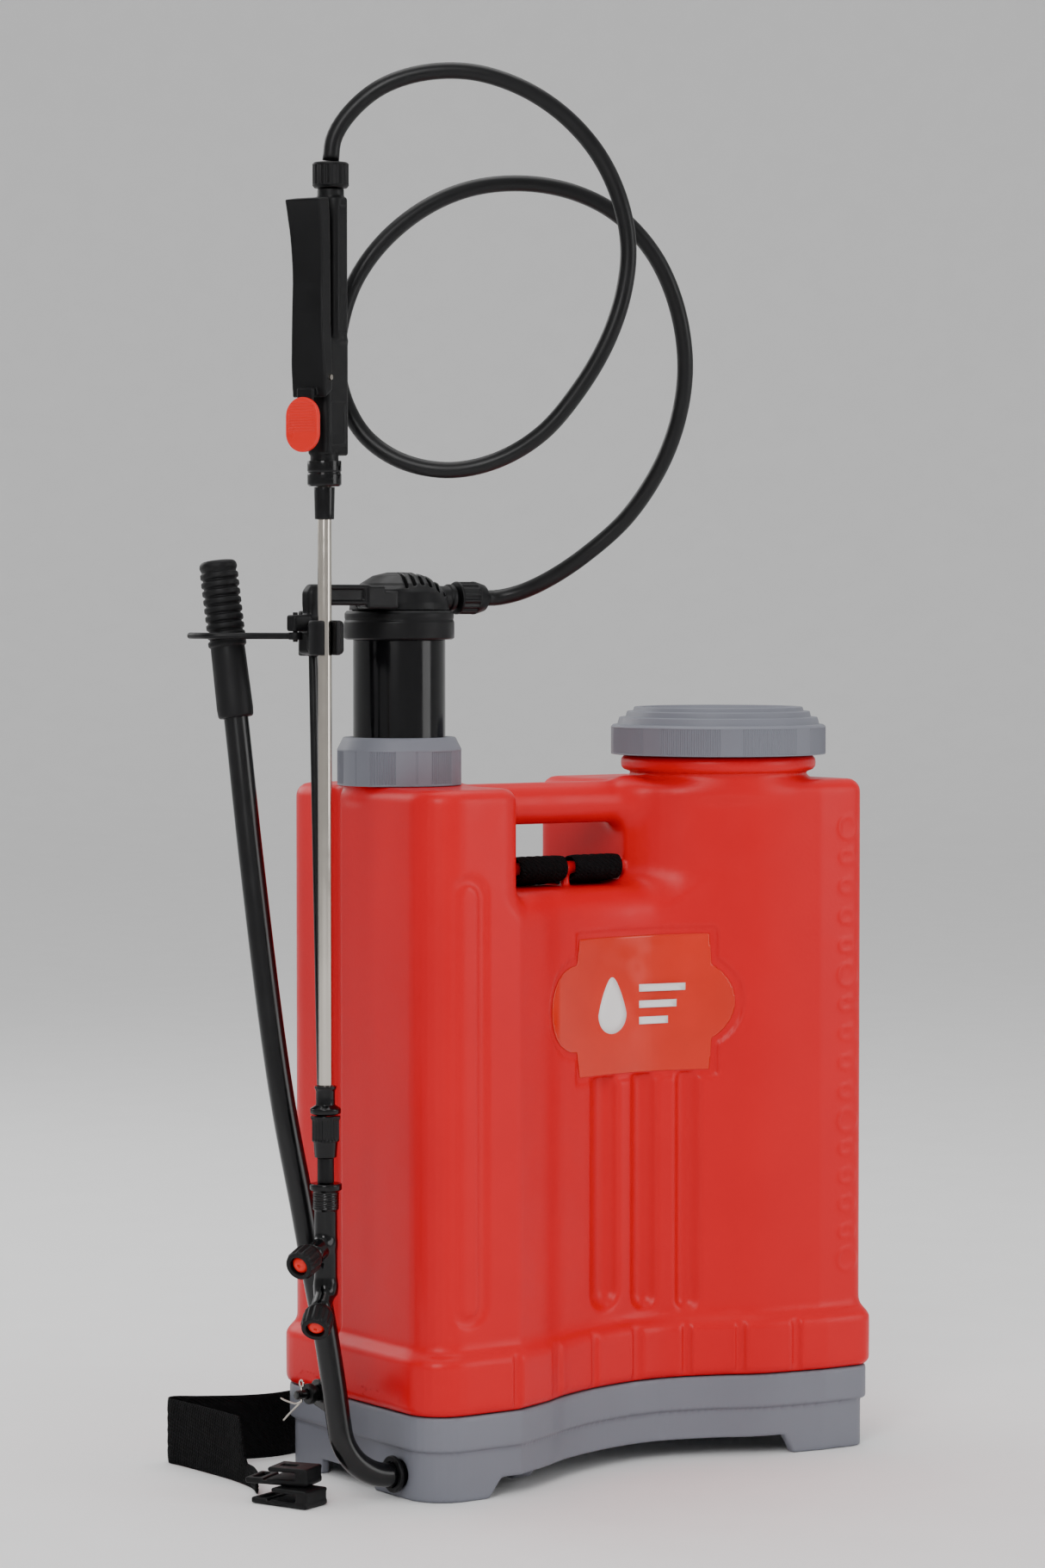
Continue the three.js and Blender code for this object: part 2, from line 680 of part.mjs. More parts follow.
const hosePath = [
  [-75.7, 2, 582.4], [-65, 1, 582.6], [-53, -8, 586], [-40, -24, 595], [-23, -44, 612], [-4, -63, 636],
  [10, -82, 670], [17, -93, 704], [17, -99, 738], [8, -101, 775], [-8, -98, 807], [-32, -91, 832],
  [-60, -81, 846], [-92, -69, 851], [-124, -56, 847], [-152, -45, 834], [-178, -36, 812], [-196, -30, 786],
  [-206, -28, 757], [-209, -29, 730], [-206, -35, 706], [-197, -45, 685], [-181, -61, 670], [-158, -81, 664],
  [-134, -100, 670], [-112, -119, 687], [-94, -134, 714], [-80, -146, 745], [-71, -152, 777],
  [-69, -154, 807], [-75, -152, 837], [-87, -145, 865], [-106, -134, 889], [-130, -121, 906],
  [-157, -106, 915], [-184, -90, 914], [-206, -76, 905], [-222, -65, 889], [-230.5, -59.5, 873],
  [-232.1, -58, 858.6],
];

// ---------------------------------------------------------------- straps

// Each strap is looped round the strap bar, lies back over the shelf and runs down behind the tank.
function shoulderStrap() {
  const { y, z } = strapBar;
  const rear = 95.8;
  return bandShape([
    [y + 16, z - 11.4], [y + 4, z - 8.6], [y - 3, z - 7.6], [y - 7.4, z - 3.4],
    [y - 7.6, z + 2.6], [y - 3.6, z + 7],
    [y + 3, z + 6.8], [y + 14, z - 1], [y + 24, z - 8.2], [y + 40, z - 11.6], [66, z - 12], [82, z - 12.1],
    [91.5, z - 14.5], [rear, z - 23], [rear, 300], [rear, 200], [rear, 110], [rear, 82],
  ], webbing, 48);
}

function strap(left) {
  return sidePlate(shoulderStrap(), left, left + strapWidth);
}

// The loose end lies on edge on the floor and doubles back to its two hooks.
function strapTail() {
  const plan = bandShape([
    [-150, 112], [-175, 108], [-196, 112], [-222, 126], [-238, 136], [-244, 131], [-243, 116], [-241, 84],
    [-240, 54], [-243, 24], [-250, 6],
  ], webbing, 40);
  const band = slab(plan, 0.4, 44);
  const taper = box([-300, -60, 15], [-200, 34, 60]);
  return cut(band, taper);
}

function strapHook(x, y, z, turn) {
  const plate = join(
    slab(roundedRectangle(-22, -12, 22, 12, 3), 0, 4, 3),
    slab(roundedRectangle(10, -12, 22, 12, 3), 0, 11, 3),
    slab(roundedRectangle(-6, -12, 22, 12, 3), 8.5, 11.5, 3),
  );
  return plate.rotateZ(turn).translate(x, y, z);
}

// ---------------------------------------------------------------- build

add("tank", tankShell(), materials.red);
add("base", baseFoot(), materials.grey);

add("filler_cap", fillerCap(), materials.grey);
add("cap_gasket", capGasket(), materials.rubber);
add("breather_valve", breatherValve(), materials.rubber);
add("strainer_basket", strainerBasket(), materials.clear);

add("collar_nut", collarNut(), materials.grey);
add("cylinder_seal", cylinderSeal(), materials.rubber);
add("pump_cylinder", pumpCylinder(), materials.clear);
add("foot_valve", footValve(), materials.black);
const ballShape = new THREE.SphereGeometry(5.2, 12, 8);
add("foot_valve_ball", ballShape.translate(pump.x, pump.y, 119.9), materials.steel);

add("air_chamber", airChamber(), materials.glossBlack);
add("piston_cup", ring(8, 31.1, 252, chamber.low - GAP, pump.x, pump.y), materials.rubber);
add("delivery_ball", new THREE.SphereGeometry(7, 12, 8).translate(pump.x, pump.y, 271.2), materials.steel);
add("chamber_ring", ring(chamber.radius + GAP, 36.4, 555, 574, pump.x, pump.y), materials.black);
add("pump_head", pumpHead(), materials.black);
add("outlet_nut", outletNut(), materials.black);
add("pump_arm", pumpArm(), materials.black);

add("keeper_hook", keeperHook(), materials.black);

add("lever_tube", leverTube(), materials.painted);
add("lever_grip", leverGrip(), materials.rubber);
add("crank_lug", crankLug(), materials.painted);
add("crank_pin", crankPinShape(), materials.painted);
add("crank_bush", crankRing(crankPin.radius + 0.25, 5.2, -219.4, -222.4), materials.black);
add("crank_washer", crankRing(crankPin.radius + 0.25, 6.8, -222.8, -226.4), materials.black);
add("split_pin", splitPin(), materials.steel);
add("shaft_collar", cut(crossBar(12, -183.6, -186.4, shaft.y, shaft.z, 24),
  crossBar(shaft.radius + 0.6, -190, -180, shaft.y, shaft.z, 16)), materials.black);
add("pump_rod", pumpRod(), materials.painted);

assembly.add(handle);
add("handle_body", handleBody(), materials.black, handle);
add("trigger_lever", triggerLever(), materials.black, handle);
add("trigger_pin", bar(1.8, [-12, -13, 721], [-12, 13, 721], 12), materials.steel, handle);
add("lock_slide", lockSlide(), materials.orange, handle);
add("valve_stem", valveStem(), materials.steel, handle);
add("hose_nut", turned([
  [5, 841.4], [10.4, 841.4], [11.6, 843], [11.6, 856.6], [10.6, 857.6], [5, 857.6], [5, 841.4],
], handleOffset, 0, 20), materials.black, handle);

add("lance_nut", onLance([
  [9.3, 669], [10.9, 669], [10.9, 654], [9.6, 652.7], [5.4, 652.7], [5.4, 663.6], [9.3, 663.6], [9.3, 669],
]), materials.glossBlack);
add("lance_ferrule", onLance([
  [4.75, 632], [6.2, 632], [6.7, 652.3], [4.75, 652.3], [4.75, 632],
]), materials.glossBlack);
add("lance_tube", onLance([
  [3.6, 254], [lance.radius, 254], [lance.radius, 672], [3.6, 672], [3.6, 254],
], 20), materials.steel);
add("lance_connector", onLance([
  [4.75, 253.4], [4.75, 272], [7, 272], [6.1, 269], [6.1, 260], [9.8, 256.5], [9.8, 254.5], [6.6, 253.4],
  [4.75, 253.4],
]), materials.black);
add("knurled_nut", onLance([
  [3, 253], [9.5, 253], [9.5, 250.5], [8.7, 250], [8.7, 236.5], [7.8, 236.5], [7, 226.4],
  [3, 226.4], [3, 253],
]), materials.black);
add("nozzle_stem", onLance([
  [2.4, 226], [5.3, 226], [5.3, 210], [3.1, 210], [3.1, 196], [2.4, 196], [2.4, 226],
]), materials.black);
add("nozzle_boom", nozzleBoom(), materials.black);
add("upper_nozzle_cap", nozzleCap(upperNozzle), materials.black);
add("lower_nozzle_cap", nozzleCap(lowerNozzle), materials.black);
add("upper_nozzle_insert", nozzleInsert(upperNozzle), materials.orange);
add("lower_nozzle_insert", nozzleInsert(lowerNozzle), materials.orange);

const hose = add("hose", swept(hoseRadius, hosePath, 64, 6), materials.rubber);

add("strap_left", strap(-60.5), materials.webbing);
add("strap_right", strap(-15.5), materials.webbing);
add("strap_tail", strapTail(), materials.webbing);
add("strap_hook_lower", strapHook(-249, -32, 0.3, -1.2), materials.black);
add("strap_hook_upper", strapHook(-247, -22, 12.3, -1.0), materials.black);

// The box is taken without the hose, which hangs free.
assembly.updateMatrixWorld(true);
const bounds = new THREE.Box3();
assembly.traverse((node) => {
  if (node.isMesh && node !== hose) bounds.expandByObject(node, true);
});
const middle = bounds.getCenter(new THREE.Vector3());
assembly.position.set(-middle.x, -middle.y, -bounds.min.z);

const sprayer = new THREE.Group();
sprayer.add(assembly);

export default sprayer;
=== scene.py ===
import math

import bpy
import numpy as np
import openvdb
from mathutils import Matrix, Vector

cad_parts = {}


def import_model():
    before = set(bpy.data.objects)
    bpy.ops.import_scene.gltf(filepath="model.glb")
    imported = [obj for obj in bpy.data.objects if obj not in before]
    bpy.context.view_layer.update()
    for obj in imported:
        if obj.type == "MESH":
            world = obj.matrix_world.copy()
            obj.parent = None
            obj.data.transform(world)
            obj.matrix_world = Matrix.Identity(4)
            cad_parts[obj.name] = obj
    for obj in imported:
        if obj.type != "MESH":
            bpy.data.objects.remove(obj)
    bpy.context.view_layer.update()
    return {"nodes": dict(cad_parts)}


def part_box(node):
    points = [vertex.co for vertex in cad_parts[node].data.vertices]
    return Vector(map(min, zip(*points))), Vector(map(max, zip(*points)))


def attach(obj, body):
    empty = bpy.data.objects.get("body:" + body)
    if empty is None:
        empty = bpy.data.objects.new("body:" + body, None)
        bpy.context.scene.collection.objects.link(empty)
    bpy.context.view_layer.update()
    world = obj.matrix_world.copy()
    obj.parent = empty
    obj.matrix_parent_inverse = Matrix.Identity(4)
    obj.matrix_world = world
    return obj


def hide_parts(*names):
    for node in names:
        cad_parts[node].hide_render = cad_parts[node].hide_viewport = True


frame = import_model()

# Shapes are worked out in millimetres, in the frame the CAD part was drawn in, and are moved into the
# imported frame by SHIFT. The floor is at z 0 in both.
TANK_LEFT, TANK_RIGHT, TANK_FRONT, TANK_BACK = -185.0, 190.0, -97.5, 97.5
tank_low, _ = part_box("tank")
SHIFT = np.array([tank_low.x * 1000 - TANK_LEFT, tank_low.y * 1000 - TANK_FRONT, 0.0])

PUMP = (-141.0, 3.5)
FILLER = (110.0, -12.5)
LANCE = (-239.3, -61.5)
OUTLET_Z = 582.4
HANDLE_TURN = math.radians(26)
HANDLE_OFFSET = 8.0
SHAFT_Y, SHAFT_Z, SHAFT_R = -55.9, 16.0, 8.0
LEVER_TILT = math.radians(8)
CRANK = (-17.5, 66.7)
KEEPER_PIVOT = (-243, -32)
ROD_TOP_X, ROD_TOP_Z, ROD_BOTTOM_X = -221.0, 556.0, -211.5


def row(point):
    """A point in the row frame, in metres."""
    return tuple((np.array(point, float) + SHIFT) / 1000)


# ---------------------------------------------------------------- camera and hose route

def camera():
    data = bpy.data.cameras.new("camera")
    data.lens = 102.5
    data.sensor_width = 36
    data.clip_end = 30
    thing = bpy.data.objects.new("camera", data)
    bpy.context.scene.collection.objects.link(thing)
    thing.location = row((-1740, -2466.5, 579))
    azimuth, pitch = math.radians(-34.5), math.radians(-2.32)
    thing.rotation_euler = (math.pi / 2 + pitch, 0, azimuth)
    bpy.context.scene.camera = thing


camera()

# The hose, from the pump's outlet nut to the trigger handle's nut.
HOSE = [
    (-75.7, 2, 582.4), (-65, 1, 582.6), (-53, -8, 586), (-40, -24, 595), (-23, -44, 612),
    (-4, -63, 636), (10, -82, 670), (17, -93, 704), (17, -99, 738), (8, -101, 775), (-8, -98, 807),
    (-32, -91, 832), (-60, -81, 846), (-92, -69, 851), (-124, -56, 847), (-152, -45, 834),
    (-178, -36, 812), (-196, -30, 786), (-206, -28, 757), (-209, -29, 730), (-206, -35, 706),
    (-197, -45, 685), (-181, -61, 670), (-158, -81, 664), (-134, -100, 670), (-112, -119, 687),
    (-94, -134, 714), (-80, -146, 745), (-71, -152, 777), (-69, -154, 807), (-75, -152, 837),
    (-87, -145, 865), (-106, -134, 889), (-130, -121, 906), (-157, -106, 915), (-184, -90, 914),
    (-206, -76, 905), (-222, -65, 889), (-230.5, -59.5, 873), (-232.1, -58, 858.6),
]
HOSE_RADIUS = 5.3


# ---------------------------------------------------------------- materials

def node(tree, kind, **values):
    made = tree.nodes.new(kind)
    for name, value in values.items():
        if name in made.inputs:
            made.inputs[name].default_value = value
        else:
            setattr(made, name, value)
    return made


def surface(name, color, roughness, metallic=0.0, mottle=0.1, mottle_scale=14.0, rough_spread=0.08,
            grain=900.0, grain_depth=0.00006, grain_strength=0.25, specular=0.5):
    """A moulded or painted surface: faint colour variation, uneven gloss and a fine grain."""
    material = bpy.data.materials.new(name)
    material.use_nodes = True
    tree = material.node_tree
    shader = tree.nodes["Principled BSDF"]
    shader.inputs["Metallic"].default_value = metallic
    shader.inputs["Specular IOR Level"].default_value = specular
    where = node(tree, "ShaderNodeTexCoord").outputs["Object"]

    broad = node(tree, "ShaderNodeTexNoise", Scale=mottle_scale, Detail=3.0)
    tree.links.new(where, broad.inputs["Vector"])
    ramp = node(tree, "ShaderNodeValToRGB")
    dark = [c * (1 - mottle) for c in color]
    light = [min(1.0, c * (1 + mottle)) for c in color]
    ramp.color_ramp.elements[0].position = 0.3
    ramp.color_ramp.elements[1].position = 0.7
    ramp.color_ramp.elements[0].color = (*dark, 1)
    ramp.color_ramp.elements[1].color = (*light, 1)
    tree.links.new(broad.outputs["Fac"], ramp.inputs["Fac"])
    tree.links.new(ramp.outputs["Color"], shader.inputs["Base Color"])

    uneven = node(tree, "ShaderNodeMapRange")
    uneven.inputs["From Min"].default_value = 0.3
    uneven.inputs["From Max"].default_value = 0.7
    uneven.inputs["To Min"].default_value = max(0.02, roughness - rough_spread)
    uneven.inputs["To Max"].default_value = min(1.0, roughness + rough_spread)
    smudge = node(tree, "ShaderNodeTexNoise", Scale=mottle_scale * 4, Detail=4.0)
    tree.links.new(where, smudge.inputs["Vector"])
    tree.links.new(smudge.outputs["Fac"], uneven.inputs["Value"])
    tree.links.new(uneven.outputs["Result"], shader.inputs["Roughness"])

    fine = node(tree, "ShaderNodeTexNoise", Scale=grain, Detail=2.0)
    tree.links.new(where, fine.inputs["Vector"])
    bump = node(tree, "ShaderNodeBump", Strength=grain_strength, Distance=grain_depth)
    tree.links.new(fine.outputs["Fac"], bump.inputs["Height"])
    tree.links.new(bump.outputs["Normal"], shader.inputs["Normal"])
    return material


def webbing_material():
    """Black polypropylene webbing: a coarse herringbone of two crossing waves."""
    material = surface("webbing", (0.003, 0.003, 0.0034), 0.8, specular=0.1, mottle=0.3, mottle_scale=60)
    tree = material.node_tree
    shader = tree.nodes["Principled BSDF"]
    where = node(tree, "ShaderNodeTexCoord").outputs["Object"]
    waves = []
    for turn in (0.8, -0.8):
        mapping = node(tree, "ShaderNodeMapping")
        mapping.inputs["Rotation"].default_value = (turn, turn, turn)
        tree.links.new(where, mapping.inputs["Vector"])
        wave = node(tree, "ShaderNodeTexWave", Scale=150.0, Distortion=0.4)
        tree.links.new(mapping.outputs["Vector"], wave.inputs["Vector"])
        waves.append(wave.outputs["Fac"])
    weave = node(tree, "ShaderNodeMath", operation="MAXIMUM")
    tree.links.new(waves[0], weave.inputs[0])
    tree.links.new(waves[1], weave.inputs[1])
    bump = node(tree, "ShaderNodeBump", Strength=1.0, Distance=0.0009)
    tree.links.new(weave.outputs[0], bump.inputs["Height"])
    tree.links.new(bump.outputs["Normal"], shader.inputs["Normal"])
    return material


MAT = {
    "red": surface("red_polyethylene", (0.62, 0.0, 0.007), 0.36, mottle=0.03, grain=430, specular=0.22,
                   grain_depth=0.0002, grain_strength=0.3, rough_spread=0.05),
    "grey": surface("grey_plastic", (0.17, 0.175, 0.205), 0.46, specular=0.3, mottle=0.05, grain=1400,
                    grain_strength=0.15),
    "black": surface("black_plastic", (0.004, 0.004, 0.0045), 0.42, specular=0.2, mottle=0.25,
                     rough_spread=0.1, grain=1600, grain_strength=0.3),
    "gloss": surface("gloss_black", (0.0025, 0.0025, 0.003), 0.13, specular=0.28, mottle=0.2,
                     rough_spread=0.04, grain=260, grain_depth=0.00005, grain_strength=0.12),
    "orange": surface("orange_red_plastic", (0.70, 0.012, 0.006), 0.34, specular=0.3, mottle=0.05,
                      grain_strength=0.12),
    "label": surface("label_film", (0.62, 0.018, 0.003), 0.14, mottle=0.08, mottle_scale=18, specular=0.4,
                     grain=60, grain_depth=0.0001, grain_strength=0.1),
    "print": surface("white_print", (0.80, 0.78, 0.77), 0.35, mottle=0.03, grain_strength=0.05),
    "rubber": surface("black_rubber", (0.005, 0.005, 0.0055), 0.5, specular=0.2, mottle=0.2, grain=1100,
                      grain_strength=0.3),
    "hose": surface("hose_rubber", (0.004, 0.004, 0.0045), 0.36, specular=0.25, mottle=0.2,
                    rough_spread=0.06, grain=700, grain_strength=0.2),
    "white": surface("natural_plastic", (0.72, 0.73, 0.69), 0.4, mottle=0.04, grain_strength=0.15),
    "steel": surface("polished_steel", (0.50, 0.46, 0.41), 0.16, metallic=1.0, mottle=0.06, mottle_scale=30,
                     rough_spread=0.05, grain=1500, grain_depth=0.00002, grain_strength=0.15),
    "painted": surface("black_painted_steel", (0.003, 0.003, 0.0035), 0.22, specular=0.35, mottle=0.2,
                       rough_spread=0.05, grain=300, grain_depth=0.00006, grain_strength=0.12),
    "webbing": webbing_material(),
}


# ---------------------------------------------------------------- making pieces

def piece(name, shape, finish, body, *nodes, smooth=True):
    """A mesh in millimetres becomes an object that rides on a body and stands for CAD nodes."""
    verts, faces = shape
    mesh = bpy.data.meshes.new(name)
    mesh.from_pydata(((np.asarray(verts, float) + SHIFT) / 1000).tolist(), [], [list(f) for f in faces])
    mesh.validate()
    if smooth:
        mesh.shade_smooth()
    thing = bpy.data.objects.new(name, mesh)
    bpy.context.scene.collection.objects.link(thing)
    mesh.materials.append(MAT[finish])
    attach(thing, body)
    if nodes:
        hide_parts(*nodes)
    return thing


def together(*shapes):
    verts, faces, count = [], [], 0
    for v, f in shapes:
        verts.append(np.asarray(v, float))
        faces.extend([[i + count for i in face] for face in f])
        count += len(v)
    return np.vstack(verts), faces


def moved(shape, matrix):
    verts, faces = shape
    m = np.array(matrix)
    return np.asarray(verts) @ m[:3, :3].T + m[:3, 3], faces


def soft_profile(profile, radius, steps=3):
    """Rounds the corners of an open or closed profile of (radius, z) points."""
    points = [np.array(p, float) for p in profile]
    closed = np.allclose(points[0], points[-1])
    if closed:
        points = points[:-1]
    out = []
    count = len(points)
    for i, corner in enumerate(points):
        if not closed and i in (0, count - 1):
            out.append(corner)
            continue
        before, after = points[i - 1], points[(i + 1) % count]
        a, b = before - corner, after - corner
        la, lb = np.linalg.norm(a), np.linalg.norm(b)
        if la < 1e-6 or lb < 1e-6:
            out.append(corner)
            continue
        a, b = a / la, b / lb
        reach = min(radius, la * 0.45, lb * 0.45)
        for s in range(steps + 1):
            t = s / steps
            start, end = corner + a * reach, corner + b * reach
            out.append((1 - t) ** 2 * start + 2 * t * (1 - t) * corner + t * t * end)
    if closed:
        out.append(out[0])
    return np.array(out)


def wall(rings, sides, closed=False):
    """Quads between neighbouring rings of points, and between the last and the first if closed."""
    faces = []
    for i in range(rings if closed else rings - 1):
        low, high = i * sides, ((i + 1) % rings) * sides
        for s in range(sides):
            t = (s + 1) % sides
            faces.append((low + s, low + t, high + t, high + s))
    return faces


def lids(rings, sides):
    """A face over the first ring of points and one over the last."""
    return [tuple(range(sides))[::-1], tuple(range((rings - 1) * sides, rings * sides))]


def aimed(place, way):
    """The matrix that takes the z axis to start at a place and run along a direction."""
    return Matrix.Translation(place) @ Vector(way).to_track_quat("Z", "Y").to_matrix().to_4x4()


def turned(profile, centre, sides=96, round_by=0.5, ribs=None):
    """A lathe shape about an upright axis. ribs(angle, radius, z) gives an outward offset."""
    outline = soft_profile(profile, round_by)
    closed = np.allclose(outline[0], outline[-1])
    if closed:
        outline = outline[:-1]
    area = 0.0
    ring_count = len(outline)
    for i in range(ring_count):
        (r0, z0), (r1, z1) = outline[i], outline[(i + 1) % ring_count]
        area += r0 * z1 - r1 * z0
    if area < 0:
        outline = outline[::-1]
    angle = np.arange(sides) * 2 * math.pi / sides
    verts = []
    for r, z in outline:
        radius = np.full(sides, r)
        if ribs is not None:
            radius = radius + ribs(angle, r, z)
        verts.append(np.stack([centre[0] + radius * np.cos(angle), centre[1] + radius * np.sin(angle),
                               np.full(sides, z)], 1))
    faces = wall(ring_count, sides, closed)
    if not closed:
        for end, lid in zip((outline[0], outline[-1]), lids(ring_count, sides)):
            if end[0] > 1e-6:
                faces.append(lid)
    return weld(np.vstack(verts), faces)


def weld(verts, faces):
    """Joins vertices in one place, and drops faces that vanish."""
    keys = np.round(verts, 5)
    _, first, inverse = np.unique(keys, axis=0, return_index=True, return_inverse=True)
    inverse = inverse.reshape(-1)
    out = []
    for face in faces:
        loop = [int(inverse[i]) for i in face]
        loop = [v for k, v in enumerate(loop) if v != loop[k - 1]]
        if len(set(loop)) >= 3:
            out.append(loop)
    return verts[first], out


def part_way(t, start, end, a, b):
    """The point between a and b that t has reached between start and end."""
    return (end - t) / (end - start) * a + (t - start) / (end - start) * b


def curve_points(points, count):
    """Evenly spread points along a centripetal Catmull-Rom curve, the way the CAD part's sweeps run."""
    p = np.array(points, float)
    p = np.vstack([2 * p[0] - p[1], p, 2 * p[-1] - p[-2]])
    out = []
    for i in range(1, len(p) - 2):
        quad = p[i - 1:i + 3]
        knots = [0.0]
        for a, b in zip(quad, quad[1:]):
            knots.append(knots[-1] + max(1e-6, np.linalg.norm(b - a)) ** 0.5)
        t0, t1, t2, t3 = knots
        for t in np.linspace(t1, t2, 24, endpoint=False):
            first = part_way(t, t0, t1, quad[0], quad[1])
            second = part_way(t, t1, t2, quad[1], quad[2])
            third = part_way(t, t2, t3, quad[2], quad[3])
            before = part_way(t, t0, t2, first, second)
            after = part_way(t, t1, t3, second, third)
            out.append(part_way(t, t1, t2, before, after))
    out.append(p[-2])
    out = np.array(out)
    length = np.concatenate([[0], np.cumsum(np.linalg.norm(np.diff(out, axis=0), axis=1))])
    even = np.linspace(0, length[-1], count)
    return np.stack([np.interp(even, length, out[:, k]) for k in range(3)], 1)


def frames_along(path):
    """Two directions across a path, at each of its points, that don't twist along it."""
    along = np.gradient(path, axis=0)
    along /= np.linalg.norm(along, axis=1)[:, None]
    side = np.cross(along[0], [0, 0, 1.0])
    if np.linalg.norm(side) < 0.2:
        side = np.cross(along[0], [0, 1.0, 0])
    sides, ups = [], []
    for direction in along:
        side = side - direction * np.dot(side, direction)
        side = side / np.linalg.norm(side)
        sides.append(side)
        ups.append(np.cross(direction, side))
    return np.array(sides), np.array(ups)


def tube(points, radius, count=80, sides=24):
    """A round tube along a smooth curve. radius may be a function of the share of the length."""
    path = curve_points(points, count)
    side, up = frames_along(path)
    angle = np.arange(sides) * 2 * math.pi / sides
    verts = []
    for i, middle in enumerate(path):
        share = i / (count - 1)
        r = radius(share) if callable(radius) else radius
        verts.append(middle + np.outer(np.cos(angle) * r, side[i]) + np.outer(np.sin(angle) * r, up[i]))
    return np.vstack(verts), wall(count, sides) + lids(count, sides)


# ---------------------------------------------------------------- solid fields

def length(*parts):
    total = 0
    for part in parts:
        total = total + part * part
    return np.sqrt(total)


def blended(a, b, k):
    h = np.clip(0.5 + 0.5 * (b - a) / k, 0, 1)
    return b + (a - b) * h - k * h * (1 - h)


def carved(a, b, k=0.0):
    return np.maximum(a, -b) if k <= 0 else -blended(-a, b, k)


def rounded(a, b, r):
    """Two distances joined into one shape whose edge has radius r. Both are given r too large."""
    return length(np.maximum(a, 0), np.maximum(b, 0)) + np.minimum(np.maximum(a, b), 0) - r


def between(value, low, high):
    """Distance to the slab from low to high."""
    return np.abs(value - (low + high) / 2) - (high - low) / 2


def block(x, y, z, low, high, r=1.0):
    q = []
    for value, a, b in zip((x, y, z), low, high):
        q.append(between(value, a, b) + r)
    outside = length(*(np.maximum(v, 0) for v in q))
    return outside + np.minimum(np.maximum(np.maximum(q[0], q[1]), q[2]), 0) - r


def pillar(u, v, w, centre, radius, low, high, r=1.0):
    """A round bar along w, about centre in u and v."""
    return rounded(length(u - centre[0], v - centre[1]) - radius + r, between(w, low, high) + r, r)


def capsule(x, y, z, a, b, radius):
    a, b = np.array(a, float), np.array(b, float)
    d = b - a
    t = np.clip(((x - a[0]) * d[0] + (y - a[1]) * d[1] + (z - a[2]) * d[2]) / d.dot(d), 0, 1)
    return length(x - a[0] - t * d[0], y - a[1] - t * d[1], z - a[2] - t * d[2]) - radius


def raised(flat, z, low, high, r=1.0):
    """A flat distance made into a slab from low to high, with its edges rounded by r."""
    return rounded(flat + r, between(z, low, high) + r, r)


def polygon(x, y, points):
    """Signed distance to a closed polygon, negative inside."""
    best = None
    inside = np.zeros(np.broadcast(x, y).shape, bool)
    for (ax, ay), (bx, by) in zip(points, np.roll(points, -1, axis=0)):
        ex, ey = bx - ax, by - ay
        size = ex * ex + ey * ey
        if size < 1e-9:
            continue
        t = np.clip(((x - ax) * ex + (y - ay) * ey) / size, 0, 1)
        d = (x - ax - t * ex) ** 2 + (y - ay - t * ey) ** 2
        best = d if best is None else np.minimum(best, d)
        if abs(ey) > 1e-9:
            cross = (ay > y) != (by > y)
            inside ^= cross & (x < ex * (y - ay) / ey + ax)
    return np.where(inside, -1, 1) * np.sqrt(best)


def solid(field, low, high, cell):
    """The surface where a field is zero, as welded quads."""
    axes = [np.arange(a - 3 * cell, b + 3 * cell + cell / 2, cell) for a, b in zip(low, high)]
    x = axes[0][:, None, None]
    y = axes[1][None, :, None]
    z = axes[2][None, None, :]
    values = np.ascontiguousarray(np.broadcast_to(field(x, y, z), [len(a) for a in axes]), dtype=np.float32)
    grid = openvdb.FloatGrid(float(3 * cell))
    grid.copyFromArray(values)
    points, quads = grid.convertToQuads(0.0)
    verts = np.asarray(points, float) * cell + [a[0] for a in axes]
    return verts, np.asarray(quads)[:, ::-1].tolist()


# ---------------------------------------------------------------- tank

FOOT, BAND_TOP, SHELF, TOP = 56.0, 95.0, 386.0, 459.0
INSET, BACK_INSET, RIGHT_INSET = 8.0, 4.0, 4.0
COLUMN_RIGHT, COLUMN_ROOT = -102, 300
HANDLE_AXIS, HANDLE_RADIUS, HANDLE_ENDS = (-7.5, 445), 14, (-110, 40)
BAR_Y, BAR_Z, BAR_RADIUS = -12.5, 401.5, 4.3
MARKS_X, MARK_RINGS = 169.0, (426, 325, 225, 129.5)
FAR = 500
BODY_LEFT, BODY_FRONT = TANK_LEFT + INSET, TANK_FRONT + INSET
VALLEY = [(-80, 13), (-54, 27), (-13, 40), (30, 43.5), (70, 32), (100, 18), (147, 9)]


def arc(cx, cy, radius, start, end, steps=8):
    angles = np.linspace(start, end, steps + 1) * math.pi
    return [(cx + radius * math.cos(a), cy + radius * math.sin(a)) for a in angles]


def bowed(start, pull, end, steps=12):
    start, pull, end = np.array(start, float), np.array(pull, float), np.array(end, float)
    return [tuple((1 - t) ** 2 * start + 2 * t * (1 - t) * pull + t * t * end)
            for t in np.linspace(0, 1, steps + 1)]


